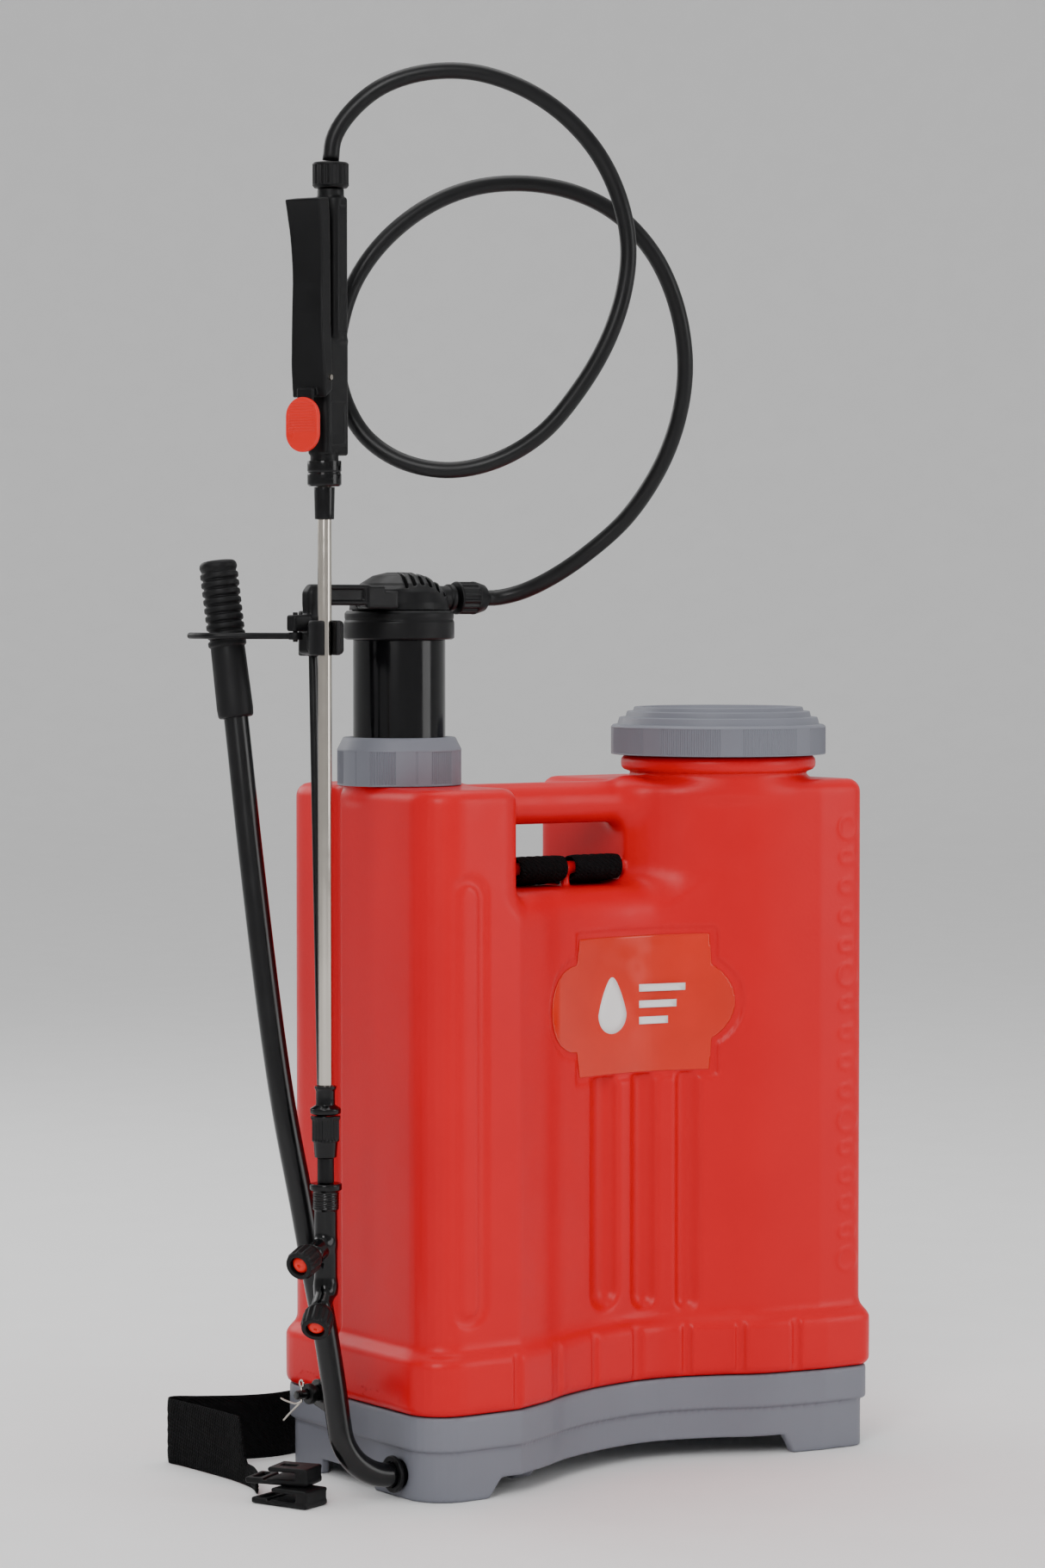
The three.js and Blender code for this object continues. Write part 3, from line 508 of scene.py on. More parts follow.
def tank_outline(inset, back_inset, right_inset):
    """Seen from above: flat on the left column, a wide hollow in the middle, back again on the right."""
    radius, tight = 30 - inset / 2, 14 - right_inset / 2
    left, right = TANK_LEFT + inset, TANK_RIGHT - right_inset
    front, back = TANK_FRONT + inset, TANK_BACK - back_inset
    knots = np.array([(-112 + inset / 2, front)] + [(x, front + deep) for x, deep in VALLEY])
    knots = np.vstack([knots[0], knots, knots[-1]])
    points = [(left + radius, front)]
    for i in range(1, len(knots) - 2):
        p0, p1, p2, p3 = knots[i - 1:i + 3]
        for t in np.linspace(0, 1, 8, endpoint=False):
            points.append(tuple(0.5 * (2 * p1 + (p2 - p0) * t + (2 * p0 - 5 * p1 + 4 * p2 - p3) * t * t
                                       + (3 * p1 - p0 - 3 * p2 + p3) * t ** 3)))
    points.append(tuple(knots[-1]))
    points += arc(right - tight, front + 8 + tight, tight, 1.5, 2)
    points += arc(right - radius, back - radius, radius, 0, 0.5)
    points += bowed((right - radius, back), (0, back - 8), (left + radius, back))
    points += arc(left + radius, back - radius, radius, 0.5, 1)
    points += arc(left + radius, front + radius, radius, 1, 1.5)
    return points


def body_outline(inset=0.0):
    return tank_outline(INSET + inset, BACK_INSET + inset, RIGHT_INSET + inset)


def front_line(outline):
    """The y of an outline's front side as a function of x."""
    front = np.array([p for p in outline if p[1] < -30 and TANK_LEFT + 20 < p[0]])
    front = front[np.argsort(front[:, 0])]
    return lambda x: np.interp(x, front[:, 0], front[:, 1])


BODY_Y = front_line(body_outline())
BAND_Y = front_line(tank_outline(0, 0, 0))
BAND_GAPS = [(-117.5, -113), (-77, -66), (-30.5, -25), (9, 16), (47.5, 53), (82.5, 88), (121, 127)]
FLUTES = [(-25, 1, 106, 262), (13, 33, 103, 260), (47.5, 62.5, 101, 258)]
LABEL_MIDDLE, LABEL_LOBE = 310.0, 29.0


def label_shape(x, z, grow=0.0):
    """A rectangle with a half-round lobe on each side, as a distance in x and z."""
    card = block(x, np.zeros(1), z, (-36 - grow, -FAR, 264 - grow), (70 + grow, FAR, 356 + grow), 3)
    lobes = block(x, np.zeros(1), z, (-68 - grow, -FAR, 281 - grow), (86 + grow, FAR, 339 + grow),
                  28.9 + grow)
    return np.minimum(card, lobes)


def tank_field(x, y, z):
    body = polygon(x, y, body_outline())
    shape = raised(body, z, FOOT, SHELF + 3, 20)

    back = TANK_BACK - BACK_INSET
    corner = block(x, y, np.zeros(1), (BODY_LEFT, BODY_FRONT, -FAR), (COLUMN_RIGHT, back, FAR), 20)
    column = raised(np.maximum(corner, body), z, COLUMN_ROOT, TOP, 9)
    region = (bowed((28, back - 20), (28, back), (48, back)) + [(220, back), (220, -120), (112, -120)]
              + bowed((100, -78), (56, -60), (28, -16)))
    tower = raised(blended(polygon(x, y, region), body, -6), z, COLUMN_ROOT, TOP, 9)
    shape = blended(shape, column, 9)
    shape = blended(shape, tower, 16)
    # blending may not push the sides out past the body's own outline
    shape = np.maximum(shape, body)
    band = raised(polygon(x, y, tank_outline(0, 0, 0)), z, FOOT, BAND_TOP - 1, 6)
    shape = blended(shape, band, 9)
    handle = pillar(y, z, x, HANDLE_AXIS, HANDLE_RADIUS, *HANDLE_ENDS, 1)
    shape = blended(shape, handle, 12)
    strap_bar = pillar(y, z, x, (BAR_Y, BAR_Z), BAR_RADIUS, *HANDLE_ENDS, 1)
    strap_post = block(x, y, z, (-21.4, BAR_Y - 3, 380), (-16.6, BAR_Y + 3, BAR_Z), 1)
    shape = np.minimum(shape, strap_bar)
    shape = blended(shape, strap_post, 3)

    # the filler's mouth and the pump's neck
    shape = blended(shape, pillar(x, y, z, FILLER, 59, TOP - 10, 466, 1), 9)
    shape = blended(shape, pillar(x, y, z, FILLER, 67, 464.6, 475, 4.2), 3)
    shape = np.minimum(shape, pillar(x, y, z, FILLER, 60, 474, 487, 1))
    shape = blended(shape, pillar(x, y, z, PUMP, 36, TOP - 10, 472, 1), 5)

    # flutes, gaps in the bumper band, the long channel on the left column
    surface_y = BODY_Y(x)
    for left, right, low, high in FLUTES:
        wide = (right - left) / 2
        groove = capsule(x, y - surface_y, z, ((left + right) / 2, -wide * 0.3, low + wide),
                         ((left + right) / 2, -wide * 0.3, high + 20), wide * 1.04)
        keep = (z - 262) * 0.8
        shape = carved(shape, np.maximum(groove, keep), 3.5)
    for left, right in BAND_GAPS:
        gap = block(x, y - BAND_Y(x), z, (left, -20, FOOT - 20), (right, 2.4, BAND_TOP + 6), 0.8)
        shape = carved(shape, gap, 1.6)
    channel = block(x, np.zeros(1), z, (-162, -FAR, 112), (-133.5, FAR, 404), 14.2)
    lip = np.maximum(np.abs(channel + 3.5) - 3.0, (y - BODY_FRONT) - 1.7)
    shape = carved(shape, np.maximum(lip, y), 1.6)

    # the label's seat, a little larger than the film
    seat = np.maximum(label_shape(x, z, 4.5), (y - surface_y) - 1.9)
    shape = carved(shape, np.maximum(seat, y), 1.6)

    # level marks down the right of the front
    skin = np.maximum(body - 0.9, y)
    for z_ring in MARK_RINGS:
        rim = np.abs(length(x - MARKS_X, z - z_ring) - 7.4) - 1.1
        shape = blended(shape, np.maximum(rim, skin), 0.8)
    for z_high, z_low in zip(MARK_RINGS, MARK_RINGS[1:]):
        for share in (0.2, 0.4, 0.6, 0.8):
            z_mark = z_low + (z_high - z_low) * share
            low, high = (MARKS_X - 6, -FAR, z_mark - 4), (MARKS_X + 6, FAR, z_mark + 4)
            mark = block(x, np.zeros(1), z, low, high, 3.0)
            line = np.abs(mark) - 1.0
            shape = blended(shape, np.maximum(line, skin), 0.8)

    # the bores for the filler and the pump, and the rod's channel down the left side
    shape = carved(shape, pillar(x, y, z, FILLER, 51, 391, 520, 1))
    shape = carved(shape, pillar(x, y, z, PUMP, 33.6, 99, 520, 1))
    rod_channel = block(x, y, z, (BODY_LEFT - 12, 21, BAND_TOP), (BODY_LEFT + 4.2, 34, 520), 1.5)
    return carved(shape, rod_channel, 1.5)


TANK_CELL = 1.8
piece("tank_shell", solid(tank_field, (-185, -97.5, 55), (190, 97.5, 488), TANK_CELL), "red", "body", "tank")


# ---------------------------------------------------------------- base

BEARINGS_X, BEARING_WIDTH, BEARING_RADIUS = (-176, -95), 14, 13


def base_field(x, y, z):
    upper = raised(polygon(x, y, tank_outline(2, 2, 2)), z, 33, FOOT - 0.3, 1.2)
    lower = raised(polygon(x, y, tank_outline(5, 5, 5)), z, 0, 36, 1.0)
    shape = np.minimum(upper, lower)
    hollow = raised(polygon(x, y, tank_outline(12, 12, 12)), z, -30, FOOT - 4.3, 2)
    shape = carved(shape, hollow)
    arch = polygon(x, z, [(-138, -5), (-124, 13), (118, 13), (128, -5), (118, -60), (-124, -60)])
    shape = carved(shape, np.broadcast_to(arch, np.broadcast(x, y, z).shape), 1.0)
    shape = carved(shape, block(x, y, z, (-220, -25, -30), (220, 40, 10), 1.5))
    for left in BEARINGS_X:
        boss = pillar(y, z, x, (SHAFT_Y, SHAFT_Z), BEARING_RADIUS, left, left + BEARING_WIDTH, 1)
        boss = np.maximum(boss, polygon(x, y, tank_outline(6, 6, 6)))
        web = block(x, y, z, (left, SHAFT_Y - 9, SHAFT_Z),
                    (left + BEARING_WIDTH, SHAFT_Y + 9, FOOT - 1.5), 1)
        shape = np.minimum(shape, np.minimum(boss, web))
    bore = pillar(y, z, x, (SHAFT_Y, SHAFT_Z), SHAFT_R + 0.9, -220, -76, 1)
    return carved(shape, bore, 0.8)


piece("base_foot", solid(base_field, (-185, -97.5, 0), (190, 97.5, 56), 1.5), "grey", "body", "base")


# ---------------------------------------------------------------- label

def label_sheet():
    """Thin film in the label's seat, following the panel's curve."""
    right = [p for p in arc(57, LABEL_MIDDLE, LABEL_LOBE, 1.5, 2.5, 24) if p[0] >= 70]
    left = [p for p in arc(-39, LABEL_MIDDLE, LABEL_LOBE, 0.5, 1.5, 24) if p[0] <= -36]
    loop = [(70, 264)] + right + [(70, 356), (-36, 356)] + left + [(-36, 264)]
    xs, zs = np.arange(-69, 88, 1.5), np.arange(263, 358, 1.5)
    grid_x, grid_z = np.meshgrid(xs, zs)
    inside = polygon(grid_x, grid_z, loop)
    step = 1e-2
    push_x = (polygon(grid_x + step, grid_z, loop) - inside) / step
    push_z = (polygon(grid_x, grid_z + step, loop) - inside) / step
    near = np.clip(inside, 0, 1.6)
    grid_x, grid_z = grid_x - push_x * near, grid_z - push_z * near
    keep = inside < 1.5
    count = grid_x.size
    front = np.stack([grid_x, BODY_Y(grid_x) + 1.4, grid_z], -1).reshape(-1, 3)
    back = front + [0, 0.35, 0]
    rows, columns = grid_x.shape
    faces = []
    for r in range(rows - 1):
        for c in range(columns - 1):
            if keep[r, c] and keep[r + 1, c] and keep[r, c + 1] and keep[r + 1, c + 1]:
                a, b = r * columns + c, (r + 1) * columns + c
                faces.append((a, a + 1, b + 1, b))
                faces.append((a + count, b + count, b + 1 + count, a + 1 + count))
    edges = {}
    for face in faces[::2]:
        for k in range(4):
            a, b = face[k], face[(k + 1) % 4]
            if (b, a) in edges:
                edges.pop((b, a))
            else:
                edges[(a, b)] = True
    for a, b in edges:
        faces.append((b, a, a + count, b + count))
    return dropped(np.vstack([front, back]), faces)


def dropped(verts, faces):
    """Drops vertices that no face uses."""
    faces = [list(f) for f in faces]
    used = sorted({i for f in faces for i in f})
    place = {old: new for new, old in enumerate(used)}
    return np.asarray(verts)[used], [[place[i] for i in f] for f in faces]


piece("front_label", label_sheet(), "label", "body")


def drop_mark():
    """A plain droplet and three bars, printed on the label."""
    def plate(loop):
        loop = np.array(loop)
        middle = loop.mean(0)
        rings = []
        for share in (1.0, 0.66, 0.33):
            ring = middle + (loop - middle) * share
            rings.append(np.stack([ring[:, 0], BODY_Y(ring[:, 0]) + 1.22, ring[:, 1]], 1))
        centre = np.array([[middle[0], float(BODY_Y(middle[0])) + 1.22, middle[1]]])
        rim = rings[0] + [0, 0.25, 0]
        verts = np.vstack(rings + [centre, rim])
        n = len(loop)
        faces = []
        for i in range(n):
            j = (i + 1) % n
            faces.append((i, j, n + j, n + i))
            faces.append((n + i, n + j, 2 * n + j, 2 * n + i))
            faces.append((2 * n + i, 2 * n + j, 3 * n))
            faces.append((j, i, 3 * n + 1 + i, 3 * n + 1 + j))
        return verts, faces

    drop = []
    for a in np.linspace(0, 2, 48, endpoint=False) * math.pi:
        pull = 1.0 - 0.42 * math.sin(a) if math.sin(a) > 0 else 1.0
        drop.append((-4 + 13 * math.cos(a) * pull, 304 + (13 if math.sin(a) <= 0 else 25) * math.sin(a)))
    bars = [[(20, z), (54 - 6 * k, z), (54 - 6 * k, z + 5), (20, z + 5)]
            for k, z in enumerate((318, 307, 296))]
    return together(plate(drop), *[plate(bar_loop) for bar_loop in bars])


piece("label_mark", drop_mark(), "print", "body")


# ---------------------------------------------------------------- filler cap, collar nut, pump

CAP_RIM = 73.8
CAP_RIBS, CAP_SIDES = 288, 1152


def cap_ribs(angle, radius, z):
    if radius < CAP_RIM - 0.2 or not 476.4 < z < 494:
        return 0.0
    share = ((angle + 0.62) / (2 * math.pi) * 8) % 1
    return np.where(share > 0.26, -0.35 - 0.35 * np.cos(angle * CAP_RIBS), -0.2)


def filler_cap():
    rim, inner = CAP_RIM, 60.6
    profile = [
        (0.0, 501), (50, 501), (50, 491.8), (inner, 491.8), (inner, 475.6), (rim, 475.6), (rim, 476.5),
        (rim, 493.8), (rim, 494.5), (rim - 1.5, 496), (rim - 4.3, 496), (rim - 5.8, 501), (rim - 10, 501),
        (rim - 11, 505), (rim - 15, 505), (rim - 16, 508), (rim - 20, 508), (rim - 22, 505), (0.0, 505),
    ]
    return turned(profile, FILLER, CAP_SIDES, 0.7, cap_ribs)


piece("cap_shell", filler_cap(), "grey", "cap", "filler_cap")


def collar_ribs(angle, radius, z):
    if radius < 40.8 or not 460.5 < z < 482:
        return 0.0
    share = ((angle + 0.55) / (2 * math.pi) * 6) % 1
    ribs = -0.45 - 0.45 * np.cos(angle * 150)
    seam = np.where(np.abs(share - 0.75) < 0.012, -0.5, 0.0)
    return np.where(share < 0.42, ribs, -0.1 + seam)


def collar_nut():
    profile = [(36.3, 459.4), (41, 459.4), (41, 460.6), (41, 482), (41, 483), (39, 487), (37, 491),
               (31.7, 491), (31.7, 477.9), (36.3, 477.9), (36.3, 459.4)]
    return turned(profile, PUMP, 900, 0.8, collar_ribs)


piece("collar_shell", collar_nut(), "grey", "body", "collar_nut")

piece("chamber_shell", turned([(6, 262), (30.5, 262), (30.5, 572), (27, 572), (27, 267), (6, 267), (6, 262)],
                              PUMP, 128, 0.6), "gloss", "pump", "air_chamber")


def chamber_ring():
    profile = [(30.8, 555), (34.6, 555), (36.4, 556), (36.4, 566.6), (35.6, 568), (36, 569.4), (36, 572.4),
               (34.6, 574), (30.8, 574), (30.8, 555)]
    return turned(profile, PUMP, 160, 0.6)


piece("ring_shell", chamber_ring(), "black", "pump", "chamber_ring")


def head_field(x, y, z):
    px, py = PUMP
    flat = length(x - px, y - py)
    dome = polygon(flat, z, [(0, 572.3), (30.3, 572.3), (30.3, 574.3), (33, 574.3), (32.6, 579), (30.2, 586),
                             (25.5, 592), (17.5, 597), (8, 599.2), (0, 599.4), (-20, 599.4), (-20, 572.3)])
    # fins curve over the dome, with slots between them
    for k in range(6):
        slot_x = px - 3 + 6.2 * k
        bent_x = x + 0.35 * np.abs(y - py)
        slot = block(bent_x, y, z, (slot_x, py - 26, 583), (slot_x + 2.6, py + 24, 610), 0.8)
        shell = -(length(x - px, y - py, (z - 572) * 1.15) - 28.4)
        dome = carved(dome, np.maximum(slot, shell), 0.6)
    boss = block(x, y, z, (px - 36, -21.3, 577), (px - 10, py, 588.5), 1.5)
    shape = blended(dome, boss, 3)
    line = py - 1.5
    outlet = pillar(y, z, x, (line, OUTLET_Z), 8, px + 20, px + 42, 0.8)
    collar = pillar(y, z, x, (line, OUTLET_Z), 9.2, px + 36.5, px + 40.5, 0.8)
    spigot = pillar(y, z, x, (line, OUTLET_Z), 5.2, px + 40, px + 64, 0.5)
    shape = blended(shape, outlet, 3)
    shape = np.minimum(np.minimum(shape, collar), spigot)
    shape = carved(shape, pillar(x, y, z, PUMP, 24, 540, 584, 1))
    return carved(shape, pillar(y, z, x, (line, OUTLET_Z), 2.6, px, px + 90, 0.5))


piece("head_shell", solid(head_field, (-178, -31, 571), (-76, 38, 601), 0.7), "black", "pump", "pump_head")


def grooved(count, depth, least_radius, low, high):
    """Grooves cut round a turned shape, between two heights, where it is wider than least_radius."""
    def ribs(angle, radius, z):
        return -depth - depth * np.cos(angle * count) if radius > least_radius and low < z < high else 0.0
    return ribs


def outlet_nut():
    profile = [(5.5, 43), (10.4, 43), (11, 44), (11, 44.8), (11, 56.6), (11, 58), (9, 65), (5.5, 65),
               (5.5, 43)]
    along = turned(profile, (0, 0), 128, 0.5, grooved(16, 0.55, 10.6, 44.6, 57))
    place = Matrix.Translation((PUMP[0], PUMP[1] - 1.5, OUTLET_Z)) @ Matrix.Rotation(math.pi / 2, 4, "Y")
    return moved(along, place)


piece("outlet_nut_shell", outlet_nut(), "black", "pump", "outlet_nut")


# ---------------------------------------------------------------- hose

hose_path = [row(p) for p in curve_points(HOSE, 200)]
hose_piece = piece("hose_tube", tube(HOSE, HOSE_RADIUS, 280, 24), "hose", "pump", "hose")


# ---------------------------------------------------------------- pump arm, keeper, rod

def arm_field(x, y, z):
    low, high = 546.0, 568.0
    socket_y = CRANK[0]
    shape = block(x, y, z, (-235, -43, low), (-212, -21, high), 3)
    socket = pillar(x, y, z, (ROD_TOP_X, socket_y), 9.2, low - 1, high + 6, 1)
    shape = blended(shape, socket, 2)
    shape = blended(shape, block(x, y, z, (ROD_TOP_X - 9, -30, low), (ROD_TOP_X + 9, socket_y, high), 1.5), 1)
    elbow = block(x, y, z, (-234, -35, 560), (-222, -24, 588), 3)
    beam = block(x, y, z, (-231, -34, 577.5), (-186, -25, 591), 2)
    shape = blended(shape, blended(elbow, beam, 5), 3)
    # the beam is an I-section, the clamp block is stepped
    for side in (-34, -25):
        pocket = block(x, y, z, (-219, side - 1.6, 580.5), (-192, side + 1.6, 588), 0.8)
        shape = carved(shape, pocket, 0.6)
    clamp = block(x, y, z, (-190, -34.5, 575.5), (-165.5, -21.6, 590), 1.4)
    notch = block(x, y, z, (-176, -40, 586.5), (-160, -20, 600), 0.6)
    shape = np.minimum(shape, carved(clamp, notch, 0.6))
    clip = pillar(x, y, z, LANCE, 10.2, low, high, 1)
    shape = blended(shape, clip, 2)
    shape = blended(shape, block(x, y, z, (-240, -54, low + 2), (-226, -40, high - 2), 2), 3)
    shape = blended(shape, block(x, y, z, (-247, -37, 561), (-233, -27, 571.5), 1.5), 1.5)
    slot = block(x, y, z, (ROD_TOP_X - 3.9, socket_y - 6.3, low - 20),
                 (ROD_TOP_X + 3.9, socket_y + 6.3, 560), 3)
    shape = carved(shape, slot)
    shape = carved(shape, pillar(x, y, z, LANCE, 4.85, low - 20, high + 20, 1))
    mouth = block(x, y, z, (LANCE[0] - 5, LANCE[1] - 30, low - 20), (LANCE[0] + 3, LANCE[1], high + 20), 1)
    shape = carved(shape, mouth, 0.8)
    return carved(shape, pillar(x, y, z, KEEPER_PIVOT, 1.9, 550, 580, 0.5))


piece("arm_shell", solid(arm_field, (-250, -73, 544), (-165, -8, 592), 0.75), "black", "pump", "pump_arm")


def keeper():
    z = 558.0
    wire = tube([(*KEEPER_PIVOT, z), (-249, -23, z), (-262, -5, z), (-273, 3, z), (-281, 10, z),
                 (-283.5, 22, z), (-283, 34, z)], lambda t: 2.1 * (1 - max(0.0, t - 0.985) * 30), 60, 16)
    pivot = turned([(0.0, 554.2), (1.6, 554.2), (1.6, 573.2), (0.0, 573.2)], KEEPER_PIVOT, 24, 0.4)
    eye = turned([(0.0, 555.6), (4.5, 555.6), (4.5, 560.4), (0.0, 560.4)], KEEPER_PIVOT, 32, 0.7)
    return together(wire, pivot, eye)


piece("keeper_wire", keeper(), "black", "keeper", "keeper_hook")


def round_bar(radius, start, end, sides=32, edge=0.6, bore=0.0):
    """A straight bar from start to end with softened ends, and a bore where one is given."""
    start, end = Vector(start), Vector(end)
    way = end - start
    if bore:
        profile = [(bore, 0), (radius, 0), (radius, way.length), (bore, way.length), (bore, 0)]
    else:
        profile = [(0.0, 0), (radius, 0), (radius, way.length), (0.0, way.length)]
    return moved(turned(profile, (0, 0), sides, edge), aimed(start, way))


def pump_rod():
    y, z = CRANK
    rod = round_bar(2.9, (ROD_BOTTOM_X + 0.6, y, z + 3), (ROD_TOP_X, y, ROD_TOP_Z))
    eye = round_bar(7, (-214.6, y, z), (-207.2, y, z), 40, 0.8, 3.3)
    return together(rod, eye)


piece("rod_shell", pump_rod(), "painted", "rod", "pump_rod")


# ---------------------------------------------------------------- hand lever

def on_lever(reach, x):
    """A point on the lever: out along the arm from the shaft, and across to x."""
    return (x, SHAFT_Y + reach * math.sin(LEVER_TILT), SHAFT_Z + reach * math.cos(LEVER_TILT))


def lever_tube():
    bend, bend_x = 36, -187
    line = [on_lever(0, x) for x in (-79, -105, -130, -170, bend_x)]
    for degrees in (20, 45, 70):
        turn = math.radians(degrees)
        line.append(on_lever(bend * (1 - math.cos(turn)), bend_x - bend * math.sin(turn)))
    for reach, x in ((38, -223), (60, -224.5), (97, -228), (135, -233), (180, -238.5), (236, -246),
                     (292, -251), (404, -257), (496, -260.5), (583, -265)):
        line.append(on_lever(reach, x))
    return tube(line, SHAFT_R, 190, 32)


piece("lever_bar", lever_tube(), "painted", "lever", "lever_tube")


def lever_grip():
    """Ribbed over its upper half, with a flared sleeve below; drawn along z, then laid on the lever."""
    start, end = Vector(on_lever(494, -260.4)), Vector(on_lever(596, -265.6))
    span = (end - start).length
    profile = [(8.4, 0), (10.6, 0), (11.4, 1.2), (11.8, 6), (11.4, 30), (11.2, 44)]
    pitch = 5.5
    rib_low = 46.0
    while rib_low + pitch < span - 4:
        profile += [(11.0, rib_low), (12.4, rib_low + 0.9), (12.4, rib_low + 3.9), (11.0, rib_low + 4.8)]
        rib_low += pitch
    profile += [(12.3, span - 4.5), (12.0, span - 2), (10.6, span - 0.4), (8.5, span), (0.0, span),
                (0.0, span - 3), (8.4, span - 3), (8.4, 0)]
    return moved(turned(profile, (0, 0), 64, 0.7), aimed(start, end - start))


piece("grip_sleeve", lever_grip(), "rubber", "lever", "lever_grip")


def lug_field(x, y, z):
    outline = [(-43, 51.5), (-17, 57.8), (-14, 60), (-9, 66), (-11, 73), (-18, 75.6), (-41, 69), (-49, 63),
               (-49, 56)]
    flat = np.minimum(polygon(y, z, outline), length(y - CRANK[0], z - CRANK[1]) - 9)
    flat = np.minimum(flat, length(y + 41, z - 60) - 9)
    shape = raised(flat, x, -219, -215, 0.8)
    shape = carved(shape, pillar(y, z, x, CRANK, 3.25, -230, -205, 0.3))
    way = np.array([0, math.sin(LEVER_TILT), math.cos(LEVER_TILT)])
    tube_start, tube_end = np.array(on_lever(30, -222.4)), np.array(on_lever(70, -225.2))
    return carved(shape, capsule(x, y, z, tube_start, tube_end, SHAFT_R + 0.4))


piece("lug_plate", solid(lug_field, (-219, -51, 50), (-215, -8, 77), 0.5), "painted", "lever", "crank_lug")


def crank_set():
    y, z = CRANK
    return together(round_bar(3, (-204.5, y, z), (-235, y, z), 28, 0.8),
                    round_bar(4.6, (-204.5, y, z), (-206.8, y, z), 32, 0.6))


piece("crank_pin_bar", crank_set(), "painted", "lever", "crank_pin")
for name, radius, start, end, axis, sides, edge, bore in (
        ("crank_bush", 5.2, -219.4, -222.4, CRANK, 40, 0.4, 3.25),
        ("crank_washer", 6.8, -222.8, -226.4, CRANK, 44, 0.6, 3.25),
        ("shaft_collar", 12, -183.6, -186.4, (SHAFT_Y, SHAFT_Z), 56, 0.8, 8.3)):
    ring = round_bar(radius, (start, *axis), (end, *axis), sides, edge, bore)
    piece(name + "_ring", ring, "black", "lever", name)


def split_pin():
    y, z = CRANK
    x = -230.5
    shank = tube([(x, y, z + 6), (x, y, z + 2), (x, y, z - 3), (x, y, z - 5)], 0.75, 12, 12)
    long_leg = tube([(x, y, z - 4.2), (x - 3, y + 2, z - 8), (x - 6, y + 6, z - 13), (x - 9, y + 8, z - 17)],
                    0.6, 24, 10)
    short_leg = tube([(x, y, z - 4.2), (x - 2, y + 3, z - 6), (x - 5, y + 12, z - 5), (x - 6, y + 16, z - 4)],
                     0.6, 24, 10)
    eye = tube([(x, y + 2.2 * math.sin(a), z + 7.2 - 2.2 * math.cos(a)) for a in np.linspace(0.2, 6.0, 12)],
               0.7, 40, 10)
    return together(shank, long_leg, short_leg, eye)


piece("split_pin_wire", split_pin(), "steel", "lever", "split_pin")


# ---------------------------------------------------------------- trigger handle

ON_HANDLE = Matrix.Translation((*LANCE, 0)) @ Matrix.Rotation(HANDLE_TURN, 4, "Z")


def handle_field(x, y, z):
    grip = raised(block(x, y, np.zeros(1), (0, -10, -99), (16, 10, 99), 6), z, 744, 836, 2.2)
    valve = raised(block(x, y, np.zeros(1), (-9, -8.6, -99), (18, 8.6, 99), 5), z, 672.5, 746, 1.6)
    shape = blended(grip, valve, 3)
    # ribs across the grip's back, a rail down each side
    for k in range(9):
        notch = block(x, y, z, (14.9, -14, 756 + 8.4 * k), (20, 14, 759.6 + 8.4 * k), 0.6)
        shape = carved(shape, notch, 0.5)
    for side in (-1, 1):
        rail = block(x, y * side, z, (3.2, 9.2, 750), (11.6, 12, 830), 0.6)
        shape = carved(shape, rail, 0.6)
        panel = block(x, y * side, z, (-5, 8.0, 679), (12, 12, 706), 0.6)
        shape = carved(shape, panel, 0.6)
        ear = block(x, y * side, z, (-14.8, 5.6, 714), (-4, 8.0, 726), 0.8)
        shape = np.minimum(shape, ear)
    shape = np.minimum(shape, pillar(x, y, z, (HANDLE_OFFSET, 0), 8.5, 834, 841, 0.8))
    shape = np.minimum(shape, pillar(x, y, z, (HANDLE_OFFSET, 0), 4.6, 838, 856, 0.5))
    shape = np.minimum(shape, pillar(x, y, z, (0, 0), 9, 664, 675, 0.8))
    shape = carved(shape, pillar(y, z, x, (0, 690), 2.3, -30, 3, 0.3))
    shape = carved(shape, pillar(x, y, z, (0, 0), 5.2, 640, 676, 0.3))
    return carved(shape, pillar(x, z, y, (-12, 721), 2.1, -30, 30, 0.3))


handle = solid(handle_field, (-16, -11, 663), (19, 11, 857), 0.7)
piece("handle_shell", moved(handle, ON_HANDLE), "black", "pump", "handle_body")


def trigger_field(x, y, z):
    side = ([(-9.8, 713), (-18, 708)] + bowed((-18, 708), (-22, 745), (-20, 780))[1:]
            + bowed((-20, 780), (-20, 812), (-27, 832))[1:] + [(-14, 834)]
            + bowed((-14, 834), (-9, 800), (-9.8, 760))[1:])
    flat = polygon(x, z, side)
    # the wide face narrows a little in the middle
    half = 12.5 - 1.1 * np.clip(1 - ((z - 775) / 45) ** 2, 0, 1)
    shape = rounded(flat + 1.2, np.abs(y) - half + 1.2, 1.2)
    shape = carved(shape, block(x, y, z, (-16, -9, 690), (5, 9, 815), 1), 1)
    tongue = block(x, y, z, (-23.2, -6, 676), (-21, 6, 714), 0.7)
    step = block(x, y, z, (-22.4, -6, 709), (-17, 6, 714), 0.7)
    shape = np.minimum(shape, blended(tongue, step, 1))
    return carved(shape, pillar(x, z, y, (-12, 721), 2.1, -30, 30, 0.3))


piece("trigger_shell", moved(solid(trigger_field, (-28, -13, 675), (-8, 13, 835), 0.7), ON_HANDLE), "black",
      "trigger", "trigger_lever")


def lock_field(x, y, z):
    middle, half, radius = 691, 17.25, 12.0
    flat = capsule(y, z, np.zeros(1), (0, middle - half + radius, 0), (0, middle + half - radius, 0), radius)
    shape = raised(flat, x, -27.1, -23.6, 0.9)
    for k in range(11):
        z_rib = 686.5 + 1.75 * k
        groove = block(x, y, z, (-30, -9.6, z_rib), (-26.55, 9.6, z_rib + 0.8), 0.25)
        shape = carved(shape, groove, 0.25)
    return shape


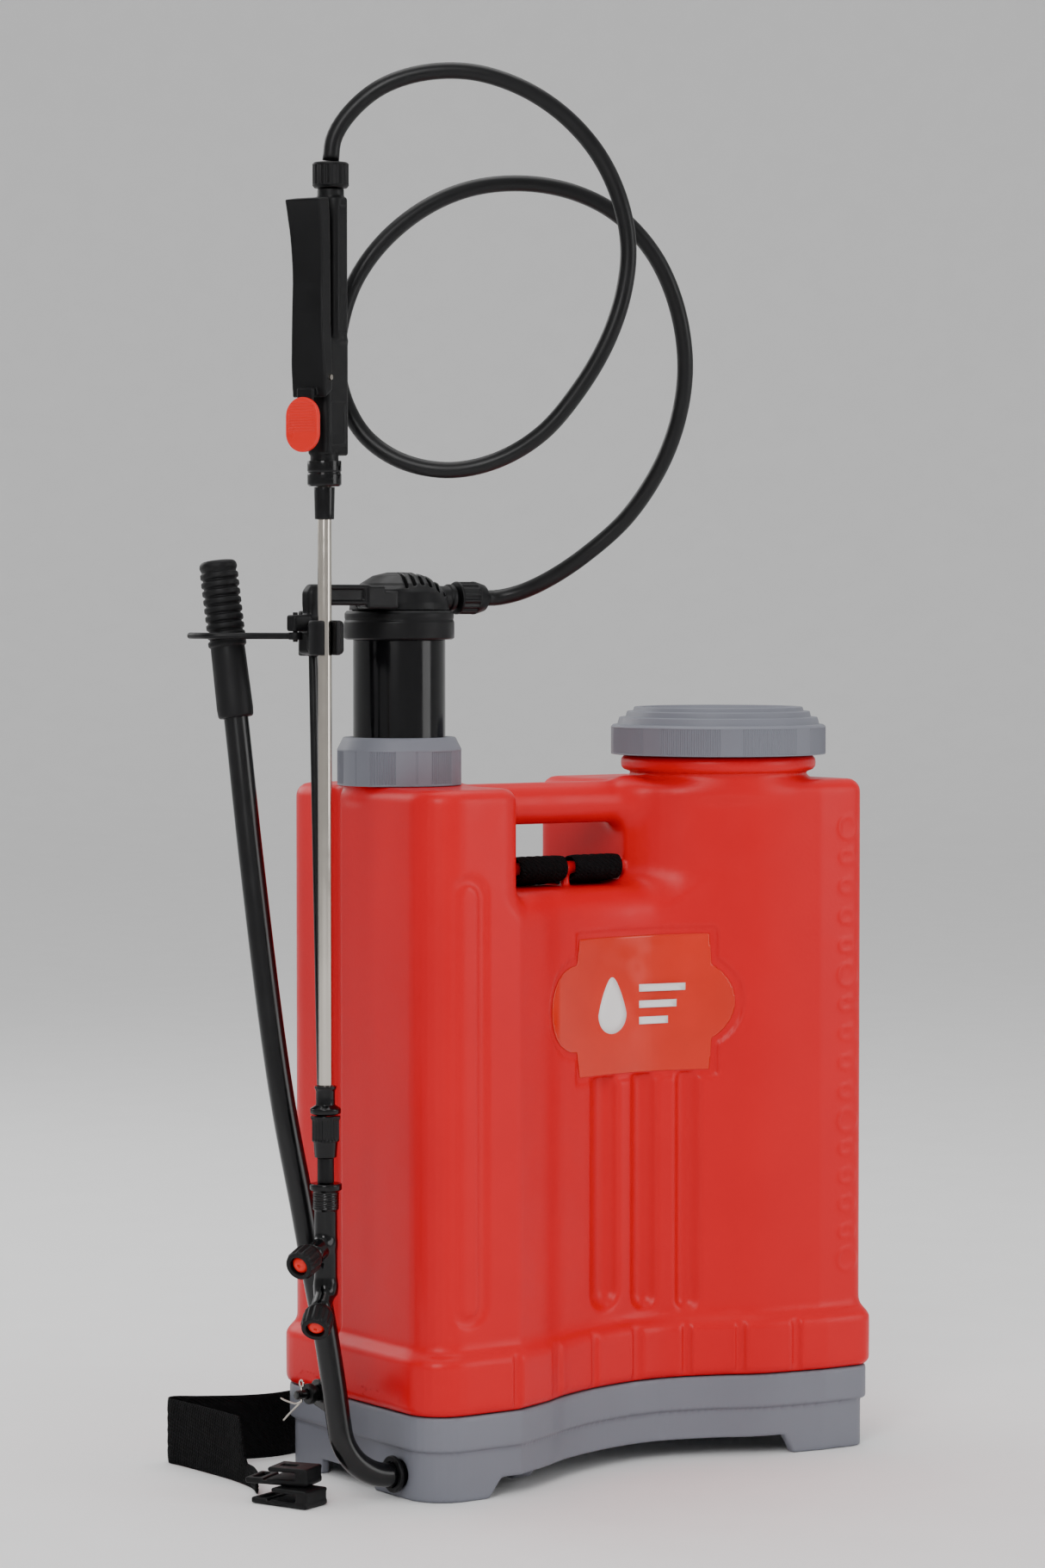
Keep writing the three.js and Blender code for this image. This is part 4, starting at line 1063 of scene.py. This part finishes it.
piece("lock_button", moved(solid(lock_field, (-27.2, -12.2, 673.5), (-23.5, 12.2, 708.5), 0.42), ON_HANDLE),
      "orange", "lock", "lock_slide")


hose_nut = turned([(5, 841.4), (10.4, 841.4), (11.6, 843), (11.6, 844), (11.6, 855.6), (11.6, 856.6),
                   (10.6, 857.6), (5, 857.6), (5, 841.4)], (HANDLE_OFFSET, 0), 144, 0.4,
                  grooved(18, 0.4, 11.3, 843.5, 856))
piece("hose_nut_shell", moved(hose_nut, ON_HANDLE), "black", "pump", "hose_nut")


# ---------------------------------------------------------------- lance and nozzles

def lance_part(name, profile, finish, sides=72, edge=0.4, ribs=None):
    piece(name + "_shell", turned(profile, LANCE, sides, edge, ribs), finish, "pump", name)


lance_part("lance_nut", [(9.3, 669), (10.9, 669), (10.9, 662.6), (10.5, 662), (10.5, 661), (10.9, 660.4),
                         (10.9, 654), (9.6, 652.7), (5.4, 652.7), (5.4, 663.6), (9.3, 663.6), (9.3, 669)],
           "gloss")
lance_part("lance_ferrule", [(4.75, 632), (6.2, 632), (6.7, 652.3), (4.75, 652.3), (4.75, 632)], "gloss")
lance_part("lance_tube", [(3.6, 254), (4.45, 254), (4.45, 672), (3.6, 672), (3.6, 254)], "steel", 64, 0.2)
lance_part("lance_connector", [(4.75, 253.4), (4.75, 272), (7, 272), (7, 270.4), (6.1, 269), (6.1, 260),
                               (9.8, 257.5), (9.8, 254.5), (6.6, 253.4), (4.75, 253.4)], "gloss")


lance_part("knurled_nut", [(3, 253), (9.5, 253), (9.5, 252), (9.5, 251), (8.7, 250), (8.7, 249), (8.7, 238.5),
                           (8.7, 236.5), (7.8, 236.5), (7, 226.4), (3, 226.4), (3, 253)], "gloss", 208, 0.4,
           grooved(26, 0.3, 8.5, 238, 252.4))
lance_part("nozzle_stem", [(2.4, 226), (5.3, 226), (5.3, 210), (3.1, 210), (3.1, 196), (2.4, 196),
                           (2.4, 226)], "black")


def boom_field(x, y, z):
    column = pillar(x, y, z, LANCE, 7.4, 138, 193, 1)
    thread = np.maximum(length(x - LANCE[0], y - LANCE[1]) - 8.3 - 0.35 * np.cos(z * 2 * math.pi / 1.55),
                        np.abs(z - 199) - 6.3)
    flange = pillar(x, y, z, LANCE, 10.4, 205.3, 209.7, 0.8)
    shape = np.minimum(np.minimum(column, thread), flange)
    ball = length(x - LANCE[0], y - LANCE[1], z - 144.5) - 7.6
    shape = blended(shape, ball, 2)
    for z_nozzle, way in NOZZLES.values():
        start = np.array([*LANCE, z_nozzle])
        branch = capsule(x, y, z, start, start + way * 14.6, 6.4)
        shape = blended(shape, branch, 3)
        pipe = capsule(x, y, z, start + way * 10, start + way * 21, 4.8)
        shape = np.minimum(shape, pipe)
    return carved(shape, pillar(x, y, z, LANCE, 3.4, 150, 230, 0.3))


NOZZLES = {
    "upper": (171.0, np.array([-0.84727, -0.44762, -0.28576])),
    "lower": (141.0, np.array([-0.58098, -0.57098, -0.57998])),
}
boom = solid(boom_field, (-262, -80, 122), (-228, -51, 210), 0.6)
piece("boom_shell", boom, "gloss", "pump", "nozzle_boom")


for side, (z_nozzle, way) in NOZZLES.items():
    aim = aimed((*LANCE, z_nozzle), way)
    cap = turned([(5.3, 19.4), (8, 19.4), (9.2, 22), (10, 24), (10, 25), (10, 32), (10, 33), (8.8, 36),
                  (6, 36), (6, 26), (5.3, 26), (5.3, 19.4)], (0, 0), 140, 0.5,
                 grooved(14, 0.55, 8.6, 22.5, 34.5))
    piece(f"{side}_cap_shell", moved(cap, aim), "black", f"{side}_nozzle", f"{side}_nozzle_cap")
    insert = turned([(0.0, 26.4), (5.6, 26.4), (5.6, 33), (4.4, 34.4), (2.6, 35.4), (1.2, 35.6), (0.8, 34.2),
                     (0.0, 34)], (0, 0), 48, 0.5)
    piece(f"{side}_insert_dome", moved(insert, aim), "orange", f"{side}_nozzle", f"{side}_nozzle_insert")


# ---------------------------------------------------------------- straps and hooks

def band(path, across, low, high, thickness=2.2):
    """Webbing along a path. low and high give its two edges across the path, at each point."""
    path, across = np.asarray(path, float), np.asarray(across, float)
    along = np.gradient(path, axis=0)
    along /= np.linalg.norm(along, axis=1)[:, None]
    normal = np.cross(along, across)
    share = np.linspace(0, 1, 17)
    ridged = 0.82 + 0.18 * np.cos(share * 12 * math.pi)
    half = thickness / 2 * np.where((share == 0) | (share == 1), 0.35, ridged)
    loop = [(s, h) for s, h in zip(share, half)] + [(s, -h) for s, h in zip(share[::-1], half[::-1])]
    verts = []
    for i, middle in enumerate(path):
        ripple = 0.10 * math.sin(i * 2.1)
        for s, h in loop:
            place = low[i] + (high[i] - low[i]) * s
            verts.append(middle + across * place + normal[i] * (h + ripple * h))
    return np.array(verts), wall(len(path), len(loop)) + lids(len(path), len(loop))


STRAP_WIDTH = 38.5
REAR = 95.8
STRAP_RUN = [
    (BAR_Y + 16, BAR_Z - 11.4), (BAR_Y + 4, BAR_Z - 8.6), (BAR_Y - 3, BAR_Z - 7.6),
    (BAR_Y - 7.4, BAR_Z - 3.4), (BAR_Y - 7.6, BAR_Z + 2.6), (BAR_Y - 3.6, BAR_Z + 7),
    (BAR_Y + 3, BAR_Z + 6.8), (BAR_Y + 14, BAR_Z - 1), (BAR_Y + 24, BAR_Z - 8.2),
    (BAR_Y + 40, BAR_Z - 11.6), (66, BAR_Z - 12), (82, BAR_Z - 12.1),
    (91.5, BAR_Z - 14.5), (REAR, BAR_Z - 23), (REAR, 300), (REAR, 200), (REAR, 110), (REAR, 82),
]
for name, left in (("strap_left", -60.5), ("strap_right", -15.5)):
    middle = left + STRAP_WIDTH / 2
    line = curve_points([(middle, y, z) for y, z in STRAP_RUN], 260)
    edge = np.full(len(line), STRAP_WIDTH / 2)
    cloth = piece(name + "_webbing", band(line, (1, 0, 0), -edge, edge), "webbing", "body", name)

# The loose tail stands on its edge on the floor, and narrows towards its hooks.
TAIL_HALF, TAIL_MIDDLE, TAIL_NARROWS_BY = 21.8, 22.2, 29.0
TAIL_RUN = [(-150, 112), (-175, 108), (-196, 112), (-222, 126), (-238, 136), (-244, 131), (-243, 116),
            (-241, 84), (-240, 54), (-243, 24), (-250, 6)]
tail_line = curve_points([(x, y, TAIL_MIDDLE) for x, y in TAIL_RUN], 200)
narrow = np.clip((46 - tail_line[:, 1]) / 14, 0, 1) * (tail_line[:, 0] < -200)
tail_high = TAIL_HALF - TAIL_NARROWS_BY * narrow * narrow * (3 - 2 * narrow)
tail = piece("strap_tail_webbing", band(tail_line, (0, 0, 1), np.full(len(tail_line), -TAIL_HALF), tail_high),
             "webbing", "body", "strap_tail")


def hook_field(x, y, z):
    shape = block(x, y, z, (-22, -12, 0), (22, 12, 4), 1.4)
    shape = blended(shape, block(x, y, z, (13, -12, 0), (22, 12, 11.5), 2.4), 1)
    shape = np.minimum(shape, block(x, y, z, (-6, -12, 8.5), (22, 12, 11.5), 1.3))
    shape = carved(shape, block(x, y, z, (-18, -8.5, -5), (-13, 8.5, 12), 1.2), 0.6)
    shape = carved(shape, block(x, y, z, (-1, -3.4, 7), (10, 3.4, 15), 1), 0.5)
    return carved(shape, block(x, y, z, (-9, -15, 2.6), (-6.5, 15, 8), 0.8), 0.5)


hook_shape = solid(hook_field, (-22, -12, 0), (22, 12, 11.5), 0.6)
HOOKS = {"strap_hook_lower": ((-249, -32, 0.3), -1.2), "strap_hook_upper": ((-247, -22, 12.3), -1.0)}
for name, (place, turn) in HOOKS.items():
    spot = Matrix.Translation(place) @ Matrix.Rotation(turn, 4, "Z")
    piece(name + "_shell", moved(hook_shape, spot), "black", "body", name)


# ---------------------------------------------------------------- CAD pieces that keep their shape

KEPT = {
    "cap_gasket": "rubber", "breather_valve": "rubber", "strainer_basket": "white", "cylinder_seal": "rubber",
    "pump_cylinder": "white", "foot_valve": "black", "foot_valve_ball": "steel", "piston_cup": "rubber",
    "delivery_ball": "steel", "trigger_pin": "steel", "valve_stem": "steel",
}
for name, finish in KEPT.items():
    for place in frame["nodes"][name].material_slots:
        place.material = MAT[finish]


# ---------------------------------------------------------------- floor and lights

def floor():
    """A wide pale floor whose far rim curves up, so that no horizon shows."""
    sides = 96
    angle = np.arange(sides) * 2 * math.pi / sides
    flat, bend, height = 7.0, 2.5, 9.0
    rings = [(0.0001, 0.0), (4.0, 0.0), (flat, 0.0)]
    rings += [(flat + bend * math.sin(a), bend * (1 - math.cos(a))) for a in np.linspace(0.15, math.pi / 2, 9)]
    rings.append((flat + bend, height))
    verts = [(r * math.cos(a), r * math.sin(a), z) for r, z in rings for a in angle]
    mesh = bpy.data.meshes.new("floor")
    mesh.from_pydata(verts, [], wall(len(rings), sides))
    mesh.shade_smooth()
    thing = bpy.data.objects.new("floor", mesh)
    bpy.context.scene.collection.objects.link(thing)
    mesh.materials.append(surface("pale_floor", (0.9, 0.9, 0.9), 0.7, mottle=0.01, grain_strength=0.02,
                                  specular=0.2))


def area_light(name, place, target, width, height, power, color=(1, 1, 1)):
    data = bpy.data.lights.new(name, "AREA")
    data.shape = "RECTANGLE"
    data.size, data.size_y = width, height
    data.energy = power
    data.color = color
    thing = bpy.data.objects.new(name, data)
    bpy.context.scene.collection.objects.link(thing)
    thing.location = place
    thing.rotation_euler = (Vector(target) - Vector(place)).to_track_quat("-Z", "Y").to_euler()


def world():
    made = bpy.data.worlds.new("studio")
    made.use_nodes = True
    made.node_tree.nodes["Background"].inputs["Color"].default_value = (1, 1, 1, 1)
    made.node_tree.nodes["Background"].inputs["Strength"].default_value = 0.75
    bpy.context.scene.world = made


floor()
world()
area_light("key", (-2.0, -1.9, 1.9), (0, 0, 0.4), 1.0, 1.6, 42)
area_light("fill", (1.7, -2.2, 1.0), (0, 0, 0.4), 1.2, 1.6, 20)
area_light("top", (0.2, 0.3, 2.6), (0, 0, 0.3), 1.8, 1.8, 26)
area_light("rim", (-0.6, 2.2, 1.4), (0, 0, 0.4), 1.6, 1.2, 14)
